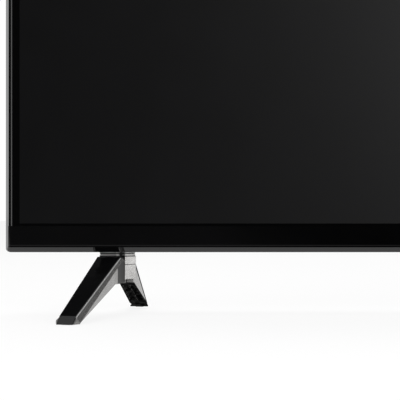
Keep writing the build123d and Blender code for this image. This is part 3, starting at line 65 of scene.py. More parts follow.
def add_node(tree, kind, **inputs):
    """Add a shader node. Values go into its settings or inputs, another node's output is linked,
    and a name like _0 stands for the input of that number."""
    node = tree.nodes.new("ShaderNode" + kind)
    for name, value in inputs.items():
        if hasattr(node, name):
            setattr(node, name, value)
            continue
        spaced = name.replace("_", " ")
        socket = node.inputs[int(name[1:])] if name[1:].isdigit() else node.inputs[spaced]
        if isinstance(value, bpy.types.NodeSocket):
            tree.links.new(value, socket)
        else:
            socket.default_value = value
    return node


def span(tree, value, low, high, to_low=0.0, to_high=1.0):
    """Map a value from one span to another, and clamp it there."""
    return add_node(tree, "MapRange", Value=value, From_Min=low, From_Max=high, To_Min=to_low,
                    To_Max=to_high).outputs[0]


def work_out(tree, kind, first, second=0.0):
    """Two numbers joined by a kind of arithmetic, or one number changed by it."""
    return add_node(tree, "Math", operation=kind, _0=first, _1=second).outputs[0]


# Room: white behind and above the set, greyer to the back right and dim on the viewer's side. The
# camera itself sees plain white.
white = (1, 1, 1, 1)
room_behind, room_back_right, room_overhead = 1.0, 0.28, 0.4
room_viewer_left, room_viewer_right = 0.07, 0.02
world = bpy.data.worlds.new("room")
world.use_nodes = True
scene.world = world
sky = world.node_tree
sky.nodes.clear()
heading = add_node(sky, "TexCoord").outputs["Generated"]
compass = add_node(sky, "SeparateXYZ", Vector=heading).outputs
behind = span(sky, compass["Y"], 0.1, 0.35)
overhead = span(sky, compass["Z"], 0.25, 0.9, 0.0, room_overhead)
paper_side = work_out(sky, "MAXIMUM", behind, overhead)
paper_tone = span(sky, compass["X"], 0.2, 0.55, room_behind, room_back_right)
viewer_tone = span(sky, compass["X"], -0.2, 0.15, room_viewer_left, room_viewer_right)
room_tone = add_node(sky, "Mix", Factor=paper_side, _2=viewer_tone, _3=paper_tone).outputs[0]
room_light = add_node(sky, "Background", Color=white, Strength=room_tone)
page_light = add_node(sky, "Background", Color=white, Strength=1.0)
camera_ray = add_node(sky, "LightPath").outputs["Is Camera Ray"]
sky_mix = add_node(sky, "MixShader", _0=camera_ray, _1=room_light.outputs[0],
                   _2=page_light.outputs[0])
add_node(sky, "OutputWorld", Surface=sky_mix.outputs[0])


def soft_box(name, place, target, size, radiance, glossy=True):
    """A soft box that faces its target. Its power follows from how bright its face looks."""
    light = bpy.data.lights.new(name, "AREA")
    light.shape = "RECTANGLE"
    light.size, light.size_y = size
    light.energy = radiance * pi * size[0] * size[1]
    box = bpy.data.objects.new(name, light)
    box.location = place
    box.rotation_euler = (Vector(target) - Vector(place)).to_track_quat("-Z", "Y").to_euler()
    box.visible_glossy = glossy
    box.visible_camera = False
    scene.collection.objects.link(box)


soft_box("front_right_box", place=(1.1, -2.2, 0.9), target=(-0.2, 0, 0.25), size=(1.2, 1.2),
         radiance=9.0)
soft_box("front_left_box", place=(-1.8, -2.2, 1.3), target=(0, 0, 0.3), size=(1.4, 1.4),
         radiance=2.4, glossy=False)
soft_box("overhead_box", place=(-0.2, 0.3, 2.2), target=(0, 0, 0), size=(2.0, 1.4),
         radiance=3.0, glossy=False)
soft_box("side_strip", place=(1.75, -0.34, 0.35), target=(-0.48, 0, 0.2), size=(0.3, 1.2),
         radiance=2.2)
soft_box("foot_box", place=(1.64, -0.83, 0.3), target=(-0.36, 0.01, 0.05), size=(0.8, 0.9),
         radiance=4.8)
soft_box("left_strip", place=(-2.25, -0.98, 0.4), target=(-0.48, 0, 0.1), size=(0.5, 1.2),
         radiance=2.6)

# Table: one sheet of white paper with a fine fibre. Gloss faces see it fade out on the viewer's
# side, where the room is dim.
floor_half = 6.0
paper_glow = 0.85
far_edge, near_edge = -0.12, -0.45
room_lowest = 0.004
floor_mesh = bpy.data.meshes.new("floor")
corners = [(x * floor_half, y * floor_half, 0) for x, y in ((-1, -1), (1, -1), (1, 1), (-1, 1))]
floor_mesh.from_pydata(corners, [], [(0, 1, 2, 3)])
floor = bpy.data.objects.new("floor", floor_mesh)
scene.collection.objects.link(floor)
paper = bpy.data.materials.new("paper_sweep")
paper.use_nodes = True
pulp = paper.node_tree
pulp.nodes.clear()
spot = add_node(pulp, "TexCoord").outputs["Object"]
spot_parts = add_node(pulp, "SeparateXYZ", Vector=spot).outputs
fibre = add_node(pulp, "TexNoise", Vector=spot, Scale=900.0)
sheet = add_node(pulp, "BsdfDiffuse", Color=span(pulp, fibre.outputs[0], 0.3, 0.7, 0.93, 0.96))
rays = add_node(pulp, "LightPath").outputs
far_side = span(pulp, spot_parts["Y"], near_edge, far_edge)
seen_in_gloss = work_out(pulp, "MULTIPLY", rays["Is Glossy Ray"], far_side)
seen = work_out(pulp, "MAXIMUM", rays["Is Camera Ray"], seen_in_gloss)
glow = add_node(pulp, "Emission", Color=white, Strength=1.0)
page = add_node(pulp, "MixShader", _0=work_out(pulp, "MULTIPLY", seen, paper_glow),
                _1=sheet.outputs[0], _2=glow.outputs[0])
near_side = work_out(pulp, "SUBTRACT", 1.0, far_side)
dim_side = work_out(pulp, "MULTIPLY", rays["Is Glossy Ray"], near_side)
dim_tone = span(pulp, spot_parts["X"], -0.3, 0.1, room_viewer_left, room_lowest)
dim = add_node(pulp, "Emission", Color=white, Strength=dim_tone)
page = add_node(pulp, "MixShader", _0=dim_side, _1=page.outputs[0], _2=dim.outputs[0])
add_node(pulp, "OutputMaterial", Surface=page.outputs[0])
floor_mesh.materials.append(paper)


# Backlight pan: pressed from galvanised sheet, with threaded posts riveted in for the boards and
# the wall mount. Zinc sets in flat crystals, so the sheet has a patchwork shine.
def surface(name, dark, light, patch, rough, grain, dent, stretch=(1, 1, 1), **settings):
    """A finish whose colour wanders from dark to light in patches of a size in metres. Its fine
    grain changes the roughness and dents the surface by a depth in metres. Returns its nodes."""
    material = bpy.data.materials.new(name)
    material.use_nodes = True
    tree = material.node_tree
    tree.nodes.clear()
    place = add_node(tree, "TexCoord").outputs["Object"]
    run = add_node(tree, "Mapping", Vector=place, Scale=stretch).outputs[0]
    patches = add_node(tree, "TexNoise", Vector=place, Scale=1 / patch, Detail=4.0)
    share = span(tree, patches.outputs[0], 0.3, 0.7)
    tone = add_node(tree, "Mix", data_type="RGBA", Factor=share)
    tone.inputs[6].default_value = (*dark, 1)
    tone.inputs[7].default_value = (*light, 1)
    grains = add_node(tree, "TexNoise", Vector=run, Scale=1 / grain, Detail=3.0)
    polish = span(tree, grains.outputs[0], 0.3, 0.7, *rough)
    bump = add_node(tree, "Bump", Height=grains.outputs[0], Distance=dent, Strength=1.0)
    shader = add_node(tree, "BsdfPrincipled", Base_Color=tone.outputs[2], Roughness=polish,
                      Normal=bump.outputs[0])
    for key, value in settings.items():
        shader.inputs[key.replace("_", " ")].default_value = value
    add_node(tree, "OutputMaterial", Surface=shader.outputs[0])
    return SimpleNamespace(material=material, tree=tree, shader=shader, place=place, bump=bump)


def relink(finish, mask, name, over):
    """Where the mask is 1, the shader's input of a name takes another colour or number."""
    socket = finish.shader.inputs[name]
    under = socket.links[0].from_socket
    if name == "Base Color":
        mix = add_node(finish.tree, "Mix", data_type="RGBA", Factor=mask, _6=under, _7=over)
        finish.tree.links.new(mix.outputs[2], socket)
    else:
        mix = add_node(finish.tree, "Mix", Factor=mask, _2=under, _3=over)
        finish.tree.links.new(mix.outputs[0], socket)


def blend_in(finish, mask, colour, rough=None):
    """Paint another colour over a finish where the mask is 1, with its own roughness."""
    relink(finish, mask, "Base Color", (*colour, 1))
    if rough is not None:
        relink(finish, mask, "Roughness", rough)


def press(finish, height, depth):
    """Press a second relief, of a depth in metres, into a finish."""
    finish.bump = add_node(finish.tree, "Bump", Height=height, Distance=depth, Strength=1.0,
                           Normal=finish.bump.outputs[0])
    finish.tree.links.new(finish.bump.outputs[0], finish.shader.inputs["Normal"])


def dress(finish, *nodes):
    """Give CAD nodes a finish."""
    for node in nodes:
        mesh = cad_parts[node].data
        mesh.materials.clear()
        mesh.materials.append(finish.material)


zinc = surface("galvanised_steel", dark=(0.46, 0.47, 0.49), light=(0.60, 0.61, 0.62), patch=0.02,
               rough=(0.28, 0.42), grain=0.0012, dent=0.000004, Metallic=1.0)
crystal_size = 0.007
crystals = add_node(zinc.tree, "TexVoronoi", Vector=zinc.place, Scale=1 / crystal_size,
                    Randomness=1.0)
facet = add_node(zinc.tree, "SeparateColor", Color=crystals.outputs["Color"]).outputs[0]
blend_in(zinc, span(zinc.tree, facet, 0.35, 1.0, 0.0, 0.5), (0.72, 0.73, 0.75), 0.5)
dress(zinc, "backlight_pan", "board_posts", "wall_mount_posts")


# Light tray: a folded white reflector sheet lies in the pan. Rows of light bars, white boards on
# aluminium, are stuck through it, and a clear moulded lens sits over each diode.
def place_on(finish, axis):
    """Where a point lies along the axis X, Y or Z, in metres."""
    return add_node(finish.tree, "SeparateXYZ", Vector=finish.place).outputs[axis]


def zigzag(finish, axis, rise):
    """A number that goes up to a rise and down to 0 along an axis, over the same length."""
    return work_out(finish.tree, "PINGPONG", place_on(finish, axis), rise)


tray_white = surface("reflector_sheet_white", dark=(0.84, 0.85, 0.86), light=(0.90, 0.90, 0.90),
                     patch=0.05, rough=(0.45, 0.55), grain=0.0006, dent=0.000006)
dress(tray_white, "reflector_sheet")
bar_white = surface("light_bar_mask", dark=(0.80, 0.81, 0.80), light=(0.87, 0.87, 0.86),
                    patch=0.02, rough=(0.35, 0.45), grain=0.0008, dent=0.000004)
bar_spacing, bar_line = 0.002, 0.0003
copper_lines = span(bar_white.tree, zigzag(bar_white, "Z", bar_spacing), bar_line,
                    bar_line + 0.0002, 1.0, 0.0)
blend_in(bar_white, work_out(bar_white.tree, "MULTIPLY", copper_lines, 0.35), (0.62, 0.60, 0.52))
press(bar_white, copper_lines, 0.00003)
dress(bar_white, "led_bars")
lens_clear = surface("lens_acrylic", dark=(0.93, 0.94, 0.94), light=(0.97, 0.97, 0.97), patch=0.01,
                     rough=(0.04, 0.09), grain=0.001, dent=0.000001, IOR=1.49,
                     Transmission_Weight=0.9)
dress(lens_clear, "led_lenses")

# Diffuser plate and films: a milky acrylic plate rests on the tray's rim, and a frosted film and
# a film of fine prisms lie loose on it. The prisms run from side to side.
plate_milk = surface("diffuser_acrylic", dark=(0.84, 0.85, 0.86), light=(0.89, 0.90, 0.90),
                     patch=0.08, rough=(0.38, 0.48), grain=0.0004, dent=0.000003,
                     Subsurface_Weight=0.3)
dress(plate_milk, "diffuser_plate")
film_frost = surface("frosted_film", dark=(0.82, 0.84, 0.85), light=(0.88, 0.89, 0.90), patch=0.03,
                     rough=(0.48, 0.6), grain=0.00025, dent=0.000006)
dress(film_frost, "diffuser_sheet")
film_prism = surface("prism_film", dark=(0.80, 0.83, 0.86), light=(0.87, 0.89, 0.91), patch=0.03,
                     rough=(0.15, 0.25), grain=0.0005, dent=0.000002)
prism_half, prism_depth = 0.0004, 0.0001
prisms = span(film_prism.tree, zigzag(film_prism, "Z", prism_half), 0.0, prism_half)
press(film_prism, prisms, prism_depth)
dress(film_prism, "prism_sheet")

# Panel frame: a black moulded surround that snaps over the pan and keeps the films in place. It
# has the even matt grain of a spark eroded mould.
frame_black = surface("panel_frame_plastic", dark=(0.022, 0.022, 0.023),
                      light=(0.030, 0.030, 0.031), patch=0.03, rough=(0.5, 0.62), grain=0.0007,
                      dent=0.00003)
dress(frame_black, "panel_frame")

# Screen: the liquid crystal cell behind an anti-glare film. Unlit, the picture area is a very
# dark grey with a faint haze, and the printed border round it is a cleaner black.
screen_side = 0.4706
screen_base, screen_top = 0.0917, 0.6211
border_fade = 0.0004
screen_glass = surface("screen_glass", dark=(0.0015, 0.0015, 0.0017),
                       light=(0.0021, 0.0021, 0.0024), patch=0.06, rough=(0.40, 0.44),
                       grain=0.0004, dent=0.0000008, IOR=1.5, Specular_IOR_Level=0.17)
from_middle = work_out(screen_glass.tree, "ABSOLUTE", place_on(screen_glass, "X"))
screen_up = place_on(screen_glass, "Z")
beside = span(screen_glass.tree, from_middle, screen_side - border_fade, screen_side)
below = span(screen_glass.tree, screen_up, screen_base, screen_base + border_fade, 1.0, 0.0)
above = span(screen_glass.tree, screen_up, screen_top - border_fade, screen_top)
ends = work_out(screen_glass.tree, "MAXIMUM", below, above)
border = work_out(screen_glass.tree, "MAXIMUM", beside, ends)
blend_in(screen_glass, border, (0.0008, 0.0008, 0.0009), 0.12)
dress(screen_glass, "lcd_cell")

# Source boards: two narrow boards behind the chin, in the green mask of all the signal boards.
# Amber film tails, bonded to the lower edge of the glass, hang down in front of them.
mask_green = surface("green_solder_mask", dark=(0.016, 0.105, 0.045), light=(0.026, 0.15, 0.065),
                     patch=0.02, rough=(0.22, 0.34), grain=0.0007, dent=0.000004)
track_cell, track_gap, track_half = 0.006, 0.11, 0.02
tracks = add_node(mask_green.tree, "TexVoronoi", feature="F1", distance="MANHATTAN",
                  Vector=mask_green.place, Scale=1 / track_cell)
track_lines = work_out(mask_green.tree, "PINGPONG", tracks.outputs["Distance"], track_gap)
track_mask = span(mask_green.tree, track_lines, track_half, 2 * track_half, 1.0, 0.0)
blend_in(mask_green, work_out(mask_green.tree, "MULTIPLY", track_mask, 0.6), (0.06, 0.27, 0.12))
press(mask_green, track_mask, 0.00003)
dress(mask_green, "source_boards", "timing_board", "main_board", "key_board",
      "remote_sensor_board")
tail_amber = surface("tail_film", dark=(0.34, 0.15, 0.035), light=(0.42, 0.20, 0.05), patch=0.01,
                     rough=(0.22, 0.32), grain=0.0006, dent=0.000003)
strand_spacing = 0.0004
copper = span(tail_amber.tree, zigzag(tail_amber, "X", strand_spacing), 0.4 * strand_spacing,
              0.6 * strand_spacing)
blend_in(tail_amber, copper, (0.60, 0.30, 0.13))
dress(tail_amber, "flex_tails")


# Driver chips: one long bare silicon chip bonded across each tail, near its upper end. It has a
# matt black drop of resin over it.
def islands(node):
    """Lowest and highest corners of each separate solid in a CAD node."""
    pile = bmesh.new()
    pile.from_mesh(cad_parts[node].data)
    bmesh.ops.remove_doubles(pile, verts=pile.verts, dist=0.000001)
    left_over = set(pile.verts)
    found = []
    while left_over:
        group = [left_over.pop()]
        for vert in group:
            near = {edge.other_vert(vert) for edge in vert.link_edges} & left_over
            left_over -= near
            group.extend(near)
        low = Vector([min(vert.co[axis] for vert in group) for axis in range(3)])
        high = Vector([max(vert.co[axis] for vert in group) for axis in range(3)])
        found.append((low, high))
    pile.free()
    return sorted(found, key=lambda corners: tuple(corners[0]))


def slab(pile, low, high, bevel):
    """Add a block with softened edges to a pile of mesh."""
    low, high = Vector(low), Vector(high)
    made = bmesh.ops.create_cube(pile, size=1.0)
    fit = Matrix.Translation((low + high) / 2) @ Matrix.Diagonal((*(high - low), 1))
    bmesh.ops.transform(pile, matrix=fit, verts=made["verts"])
    rims = {edge for vert in made["verts"] for edge in vert.link_edges}
    bmesh.ops.bevel(pile, geom=list(rims), offset=bevel, segments=2, affect="EDGES")


def make_piece(name, pile, finish, body="cabinet"):
    """Turn a pile of mesh into a piece of the set that rides on a body."""
    bmesh.ops.recalc_face_normals(pile, faces=pile.faces)
    mesh = bpy.data.meshes.new(name)
    pile.to_mesh(mesh)
    pile.free()
    mesh.materials.append(finish.material)
    item = bpy.data.objects.new(name, mesh)
    scene.collection.objects.link(item)
    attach(item, body)
    return item


resin = surface("chip_resin", dark=(0.018, 0.018, 0.020), light=(0.030, 0.030, 0.032),
                patch=0.004, rough=(0.5, 0.65), grain=0.0004, dent=0.000008)
driver_width, driver_height, driver_depth = 0.014, 0.0016, 0.0008
driver_drop, driver_bond = 0.003, 0.0001
pile = bmesh.new()
for low, high in islands("flex_tails"):
    x = (low.x + high.x) / 2
    z = high.z - driver_drop
    slab(pile, (x - driver_width / 2, high.y - driver_depth, z - driver_height / 2),
         (x + driver_width / 2, high.y + driver_bond, z + driver_height / 2), bevel=0.0002)
make_piece("tail_chips", pile, resin)

# Ribbons: flat white cables with fine conductors, from the source boards up to the timing board
# and from there to the main board.
ribbon_white = surface("ribbon_cable", dark=(0.70, 0.70, 0.68), light=(0.78, 0.78, 0.76),
                       patch=0.01, rough=(0.4, 0.5), grain=0.0008, dent=0.000003)
ribbon_spacing = 0.0005
conductors = span(ribbon_white.tree, zigzag(ribbon_white, "X", ribbon_spacing),
                  0.4 * ribbon_spacing, 0.8 * ribbon_spacing)
blend_in(ribbon_white, conductors, (0.56, 0.57, 0.58), 0.35)
press(ribbon_white, conductors, 0.00005)
dress(ribbon_white, "panel_ribbons", "signal_ribbon")


# Timing board: the controller chip and two supply chips, moulded in resin. Rows of thin bent legs
# with a tin plate are soldered to the board.
def chip(pile, legs, x, z, width, height, depth, front):
    """Add a chip that lies on a board's back, with its legs in a pile of their own."""
    lift, pitch = 0.0002, 0.001
    leg_half, leg_reach, leg_rise, leg_bevel = 0.0002, 0.0009, 0.0003, 0.00005
    slab(pile, (x - width / 2, front + lift, z - height / 2),
         (x + width / 2, front + depth, z + height / 2), bevel=0.00025)
    for across, half, other in (("x", width / 2, height / 2), ("z", height / 2, width / 2)):
        count = int(2 * half / pitch) - 1
        for index in range(count):
            step = (index - (count - 1) / 2) * pitch
            for side in (-1, 1):
                low, high = sorted((side * other, side * (other + leg_reach)))
                if across == "x":
                    start, end = (x + step - leg_half, z + low), (x + step + leg_half, z + high)
                else:
                    start, end = (x + low, z + step - leg_half), (x + high, z + step + leg_half)
                slab(legs, (start[0], front, start[1]), (end[0], front + leg_rise, end[1]),
                     leg_bevel)


tinned = surface("tinned_legs", dark=(0.58, 0.58, 0.57), light=(0.68, 0.68, 0.66), patch=0.003,
                 rough=(0.25, 0.38), grain=0.0004, dent=0.000004, Metallic=1.0)
board_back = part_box("timing_board")[1].y
pile, legs = bmesh.new(), bmesh.new()
chip(pile, legs, x=-0.004, z=0.156, width=0.016, height=0.016, depth=0.0014, front=board_back)
for x in (-0.052, -0.036):
    chip(pile, legs, x, z=0.160, width=0.006, height=0.005, depth=0.0013, front=board_back)
make_piece("timing_board_chips", pile, resin)
make_piece("timing_board_legs", legs, tinned)

# Power board: brown paper laminate. The tall capacitors are aluminium cans in a shrunk sleeve,
# and the small yellow blocks are film capacitors dipped in resin. The transformers are wound on
# a ferrite core and wrapped in yellow tape.
laminate = surface("paper_laminate", dark=(0.40, 0.27, 0.12), light=(0.48, 0.34, 0.16),
                   patch=0.012, rough=(0.5, 0.6), grain=0.0008, dent=0.000006, stretch=(1, 1, 6))
dress(laminate, "power_board")
tape_yellow = surface("winding_tape", dark=(0.60, 0.46, 0.05), light=(0.68, 0.55, 0.08),
                      patch=0.01, rough=(0.32, 0.45), grain=0.001, dent=0.000004)
core_front, core_back = [corner.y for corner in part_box("power_transformers")]
core_depth, core_edge = 0.005, 0.0001
tape_width, tape_step, tape_relief = 0.0012, 0.0002, 0.00006
tape_depth = place_on(tape_yellow, "Y")
front_core = span(tape_yellow.tree, tape_depth, core_front + core_depth - core_edge,
                  core_front + core_depth, 1.0, 0.0)
back_core = span(tape_yellow.tree, tape_depth, core_back - core_depth,
                 core_back - core_depth + core_edge)
tape_turns = span(tape_yellow.tree, zigzag(tape_yellow, "Y", tape_width), 0.0, tape_step)
press(tape_yellow, tape_turns, tape_relief)
blend_in(tape_yellow, work_out(tape_yellow.tree, "MAXIMUM", front_core, back_core),
         (0.045, 0.043, 0.042), 0.6)
dress(tape_yellow, "power_transformers")
sleeve = surface("capacitor_sleeve", dark=(0.018, 0.022, 0.045), light=(0.026, 0.032, 0.06),
                 patch=0.01, rough=(0.18, 0.28), grain=0.0015, dent=0.000006)
can_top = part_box("power_capacitors")[1].y
sleeve_end, bare_start = can_top - 0.0008, can_top - 0.0006
bare_top = span(sleeve.tree, place_on(sleeve, "Y"), sleeve_end, bare_start)
blend_in(sleeve, bare_top, (0.60, 0.61, 0.62), 0.35)
dress(sleeve, "power_capacitors")
extruded = surface("extruded_aluminium", dark=(0.56, 0.57, 0.58), light=(0.66, 0.67, 0.68),
                   patch=0.012, rough=(0.3, 0.42), grain=0.0012, dent=0.000006,
                   stretch=(1, 1, 0.04), Metallic=1.0)
dress(extruded, "power_heatsinks", "main_heatsink")
film_cap = surface("film_capacitor_resin", dark=(0.50, 0.34, 0.03), light=(0.60, 0.42, 0.05),
                   patch=0.006, rough=(0.25, 0.35), grain=0.002, dent=0.00002)
cap_half_width, cap_half_height, cap_rise, cap_bevel = 0.008, 0.009, 0.014, 0.0015
cap_z = 0.196
board_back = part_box("power_board")[1].y
pile, legs, caps = bmesh.new(), bmesh.new(), bmesh.new()
for x in (-0.322, -0.300):
    slab(caps, (x - cap_half_width, board_back, cap_z - cap_half_height),
         (x + cap_half_width, board_back + cap_rise, cap_z + cap_half_height), cap_bevel)
bridge_x, bridge_z, bridge_rise = (-0.262, -0.240), (0.192, 0.196), 0.015
slab(pile, (bridge_x[0], board_back, bridge_z[0]),
     (bridge_x[1], board_back + bridge_rise, bridge_z[1]), bevel=0.0006)
chip(pile, legs, x=-0.160, z=0.300, width=0.010, height=0.008, depth=0.0018, front=board_back)
make_piece("film_capacitors", caps, film_cap)
make_piece("power_board_chips", pile, resin)
make_piece("power_board_legs", legs, tinned)


# Main board: the large chip lies under the finned heatsink, with two memory chips beside it. The
# sound and supply parts stand in the free corner: chips, square chokes and small round cans.
def turned(pile, centre, axis, profile, steps=32):
    """Add a turned form round an axis, from radii and distances along it."""
    turn = Vector((0, 0, 1)).rotation_difference(Vector(axis)).to_matrix()
    rings = []
    for radius, along in profile:
        ring = []
        for index in range(steps):
            angle = 2 * pi * index / steps
            point = Vector((radius * cos(angle), radius * sin(angle), along))
            ring.append(pile.verts.new(Vector(centre) + turn @ point))
        rings.append(ring)
    for first, second in zip(rings, rings[1:]):
        for index in range(steps):
            after = (index + 1) % steps
            pile.faces.new((first[index], first[after], second[after], second[index]))
    return rings


board_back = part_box("main_board")[1].y
pile, legs, caps = bmesh.new(), bmesh.new(), bmesh.new()
for z in (0.274, 0.300):
    chip(pile, legs, 0.256, z, width=0.012, height=0.018, depth=0.0012, front=board_back)
chip(pile, legs, x=0.172, z=0.236, width=0.008, height=0.010, depth=0.0013, front=board_back)
chip(pile, legs, x=0.180, z=0.330, width=0.014, height=0.014, depth=0.0014, front=board_back)
choke_half, choke_base, choke_top, choke_rise = 0.006, 0.352, 0.364, 0.005
for x in (0.163, 0.180, 0.197):
    slab(pile, (x - choke_half, board_back, choke_base),
         (x + choke_half, board_back + choke_rise, choke_top), bevel=0.001)
can_z = 0.306
can_profile = [(0.0040, 0), (0.0040, 0.0006), (0.0036, 0.0012), (0.0040, 0.0018),
               (0.0040, 0.0066), (0.0036, 0.0070)]
for x in (0.160, 0.172, 0.184):
    rings = turned(caps, (x, board_back, can_z), (0, 1, 0), can_profile)
    caps.faces.new(rings[-1])
make_piece("main_board_chips", pile, resin)
make_piece("main_board_legs", legs, tinned)
make_piece("main_board_capacitors", caps, extruded)

# Leads: stranded copper in a soft black sleeve, from the power board and the speakers to the main
# board. Their ends are crimped into small plugs on the boards.
lead_sleeve = surface("lead_sleeve", dark=(0.022, 0.022, 0.022), light=(0.034, 0.034, 0.034),
                      patch=0.01, rough=(0.4, 0.5), grain=0.001, dent=0.000006)
dress(lead_sleeve, "power_lead", "speaker_leads")


# Sockets on the main board: pressed shells with a dull nickel plate, moulded black bodies, and
# gilt contacts. The antenna socket has a thread cut on its barrel.
def within(tree, value, low, high, soft=0.0002):
    """1 where a length lies between two others, with soft ends."""
    half, middle = (high - low) / 2, (high + low) / 2
    away = work_out(tree, "ABSOLUTE", work_out(tree, "SUBTRACT", value, middle))
    return span(tree, away, half, half + soft, 1.0, 0.0)


def all_of(tree, first, *others):
    """1 where every mask is 1."""
    for other in others:
        first = work_out(tree, "MULTIPLY", first, other)
    return first


def nickel_plate(name):
    """Dull nickel on a pressed shell, with faint lines along the way that it was drawn."""
    return surface(name, dark=(0.50, 0.49, 0.47), light=(0.60, 0.59, 0.57), patch=0.006,
                   rough=(0.24, 0.36), grain=0.0006, dent=0.000003, stretch=(0.15, 1, 1),
                   Metallic=1.0)


nickel = nickel_plate("nickel_plate")
thread_half, thread_depth = 0.0004, 0.0003
thread_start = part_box("main_board")[1].x + 0.004
on_barrel = span(nickel.tree, place_on(nickel, "X"), thread_start, thread_start + 0.0001)
thread_rise = span(nickel.tree, zigzag(nickel, "X", thread_half), 0.0, thread_half)
press(nickel, all_of(nickel.tree, thread_rise, on_barrel), thread_depth)
dress(nickel, "tuner_can")

shell_nickel = nickel_plate("socket_shell_nickel")
shell_tree = shell_nickel.tree
shell_wall, mouth_rim, wall_soft = 0.0003, 0.0003, 0.0001
widest_tongue = 0.012
hdmi_shells = [(low, high) for low, high in islands("hdmi_sockets")
               if high.z - low.z > widest_tongue]
# Inside each shell the moulded tongue is black, and the shell's own inner walls are painted near
# black as painted shade
for low, high in hdmi_shells + [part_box("usb_socket"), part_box("ethernet_socket")]:
    inside_dark_and_shade = all_of(
        shell_tree,
        within(shell_tree, place_on(shell_nickel, "X"), low.x, high.x - mouth_rim, wall_soft),
        within(shell_tree, place_on(shell_nickel, "Y"), low.y + shell_wall, high.y - shell_wall,
               wall_soft),
        within(shell_tree, place_on(shell_nickel, "Z"), low.z + shell_wall, high.z - shell_wall,
               wall_soft))
    blend_in(shell_nickel, inside_dark_and_shade, (0.012, 0.012, 0.012), 0.6)
dress(shell_nickel, "hdmi_sockets", "usb_socket", "ethernet_socket")

gilt = surface("gilt_brass", dark=(0.66, 0.46, 0.16), light=(0.76, 0.56, 0.24), patch=0.006,
               rough=(0.18, 0.28), grain=0.0006, dent=0.000003, Metallic=1.0)
dress(gilt, "av_jacks")
socket_black = surface("socket_plastic", dark=(0.014, 0.014, 0.015), light=(0.022, 0.022, 0.023),
                       patch=0.01, rough=(0.35, 0.48), grain=0.0005, dent=0.00001)
dress(socket_black, "optical_socket", "headphone_jack", "tact_switches")

blade_start, blade_end, blade_low, blade_high = 0.0095, 0.0024, 0.00045, 0.00066
hdmi_count, hdmi_pitch = 9, 0.0009
usb_count, usb_pitch = 4, 0.002
pile = bmesh.new()
shells = [(low, high, hdmi_count, hdmi_pitch) for low, high in hdmi_shells]
shells += [(*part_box("usb_socket"), usb_count, usb_pitch)]
for low, high, count, pitch in shells:
    middle = (low + high) / 2
    for index in range(count):
        z = middle.z + (index - (count - 1) / 2) * pitch
        slab(pile, (high.x - blade_start, middle.y + blade_low, z - pitch / 4),
             (high.x - blade_end, middle.y + blade_high, z + pitch / 4), bevel=0.00005)
wire_start, wire_end, wire_low, wire_high = 0.0105, 0.0030, 0.0016, 0.0021
wire_count, wire_pitch, wire_half = 8, 0.00102, 0.00022
low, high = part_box("ethernet_socket")
middle = (low + high) / 2
for index in range(wire_count):
    z = middle.z + (index - (wire_count - 1) / 2) * wire_pitch
    slab(pile, (high.x - wire_start, low.y + wire_low, z - wire_half),
         (high.x - wire_end, low.y + wire_high, z + wire_half), bevel=0.00008)
make_piece("socket_contacts", pile, gilt)

# Jack collars: a moulded ring round each of the three sound and picture jacks, in yellow, white
# and red. They sit on the face of the socket panel.
jack_half_depth = 0.0065
jack_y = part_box("av_jacks")[0].y + jack_half_depth
jack_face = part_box("io_panel")[1].x
jack_collars = {
    "video_jack_collar": ((0.62, 0.44, 0.02), (0.70, 0.52, 0.04), 0.3365),
    "left_sound_jack_collar": ((0.66, 0.66, 0.64), (0.74, 0.74, 0.72), 0.3495),
    "right_sound_jack_collar": ((0.36, 0.02, 0.015), (0.44, 0.035, 0.025), 0.3625),
}
collar_profile = [(0.0045, 0), (0.0058, 0), (0.0058, 0.0006), (0.0054, 0.0010), (0.0048, 0.0010),
                  (0.0045, 0.0007), (0.0045, 0)]
for name, (dark, light, height) in jack_collars.items():
    collar = surface(name, dark, light, patch=0.006, rough=(0.3, 0.42), grain=0.0008,
                     dent=0.00001)
    pile = bmesh.new()
    turned(pile, (jack_face, jack_y, height), (1, 0, 0), collar_profile, steps=48)
    bmesh.ops.remove_doubles(pile, verts=pile.verts, dist=0.000001)
    make_piece(name, pile, collar)

# Speakers: two sealed boxes of black plastic in the belly, each with a long paper cone that
# fires down through slots in the cover. The sockets that take the feet are of the same plastic.
dress(frame_black, "left_speaker_box", "right_speaker_box", "stand_sockets")
cone_paper = surface("pressed_pulp", dark=(0.035, 0.035, 0.035), light=(0.06, 0.06, 0.057),
                     patch=0.004, rough=(0.7, 0.85), grain=0.0006, dent=0.00006)
dress(cone_paper, "left_speaker_driver", "right_speaker_driver")

# Screws: steel, chemically blackened and slightly oily. Small ones hold the boards to the pan's
# posts, and long ones come up through each foot into its socket.
black_steel = surface("blackened_steel", dark=(0.09, 0.09, 0.095), light=(0.15, 0.15, 0.155),
                      patch=0.004, rough=(0.3, 0.45), grain=0.0006, dent=0.000006, Metallic=1.0)
dress(black_steel, "board_screws", "foot_screws")

# Push buttons: four moulded caps in a column on the back, each over a switch on the key board.
# A raised mark tells them apart: power, input, less and more.
cap_black = surface("button_cap_plastic", dark=(0.022, 0.022, 0.023), light=(0.030, 0.030, 0.031),
                    patch=0.01, rough=(0.36, 0.46), grain=0.0005, dent=0.000012)
dress(cap_black, "power_button", "input_button", "volume_down_button", "volume_up_button")
mark_grey = surface("button_mark_ink", dark=(0.46, 0.46, 0.46), light=(0.56, 0.56, 0.56),
                    patch=0.002, rough=(0.45, 0.6), grain=0.0003, dent=0.000006)


def raised(pile, outline, x, z, low, high):
    """Add a flat form with a given outline, raised from low to high on the back of the set."""
    loops = [[pile.verts.new((x - across, y, z + up)) for across, up in outline]
             for y in (low, high)]
    for loop in loops:
        pile.faces.new(loop)
    for index in range(len(outline)):
        after = (index + 1) % len(outline)
        pile.faces.new((loops[0][index], loops[0][after], loops[1][after], loops[1][index]))


def bar(left, right, base, top):
    """Outline of a straight stroke."""
    return [(left, base), (right, base), (right, top), (left, top)]


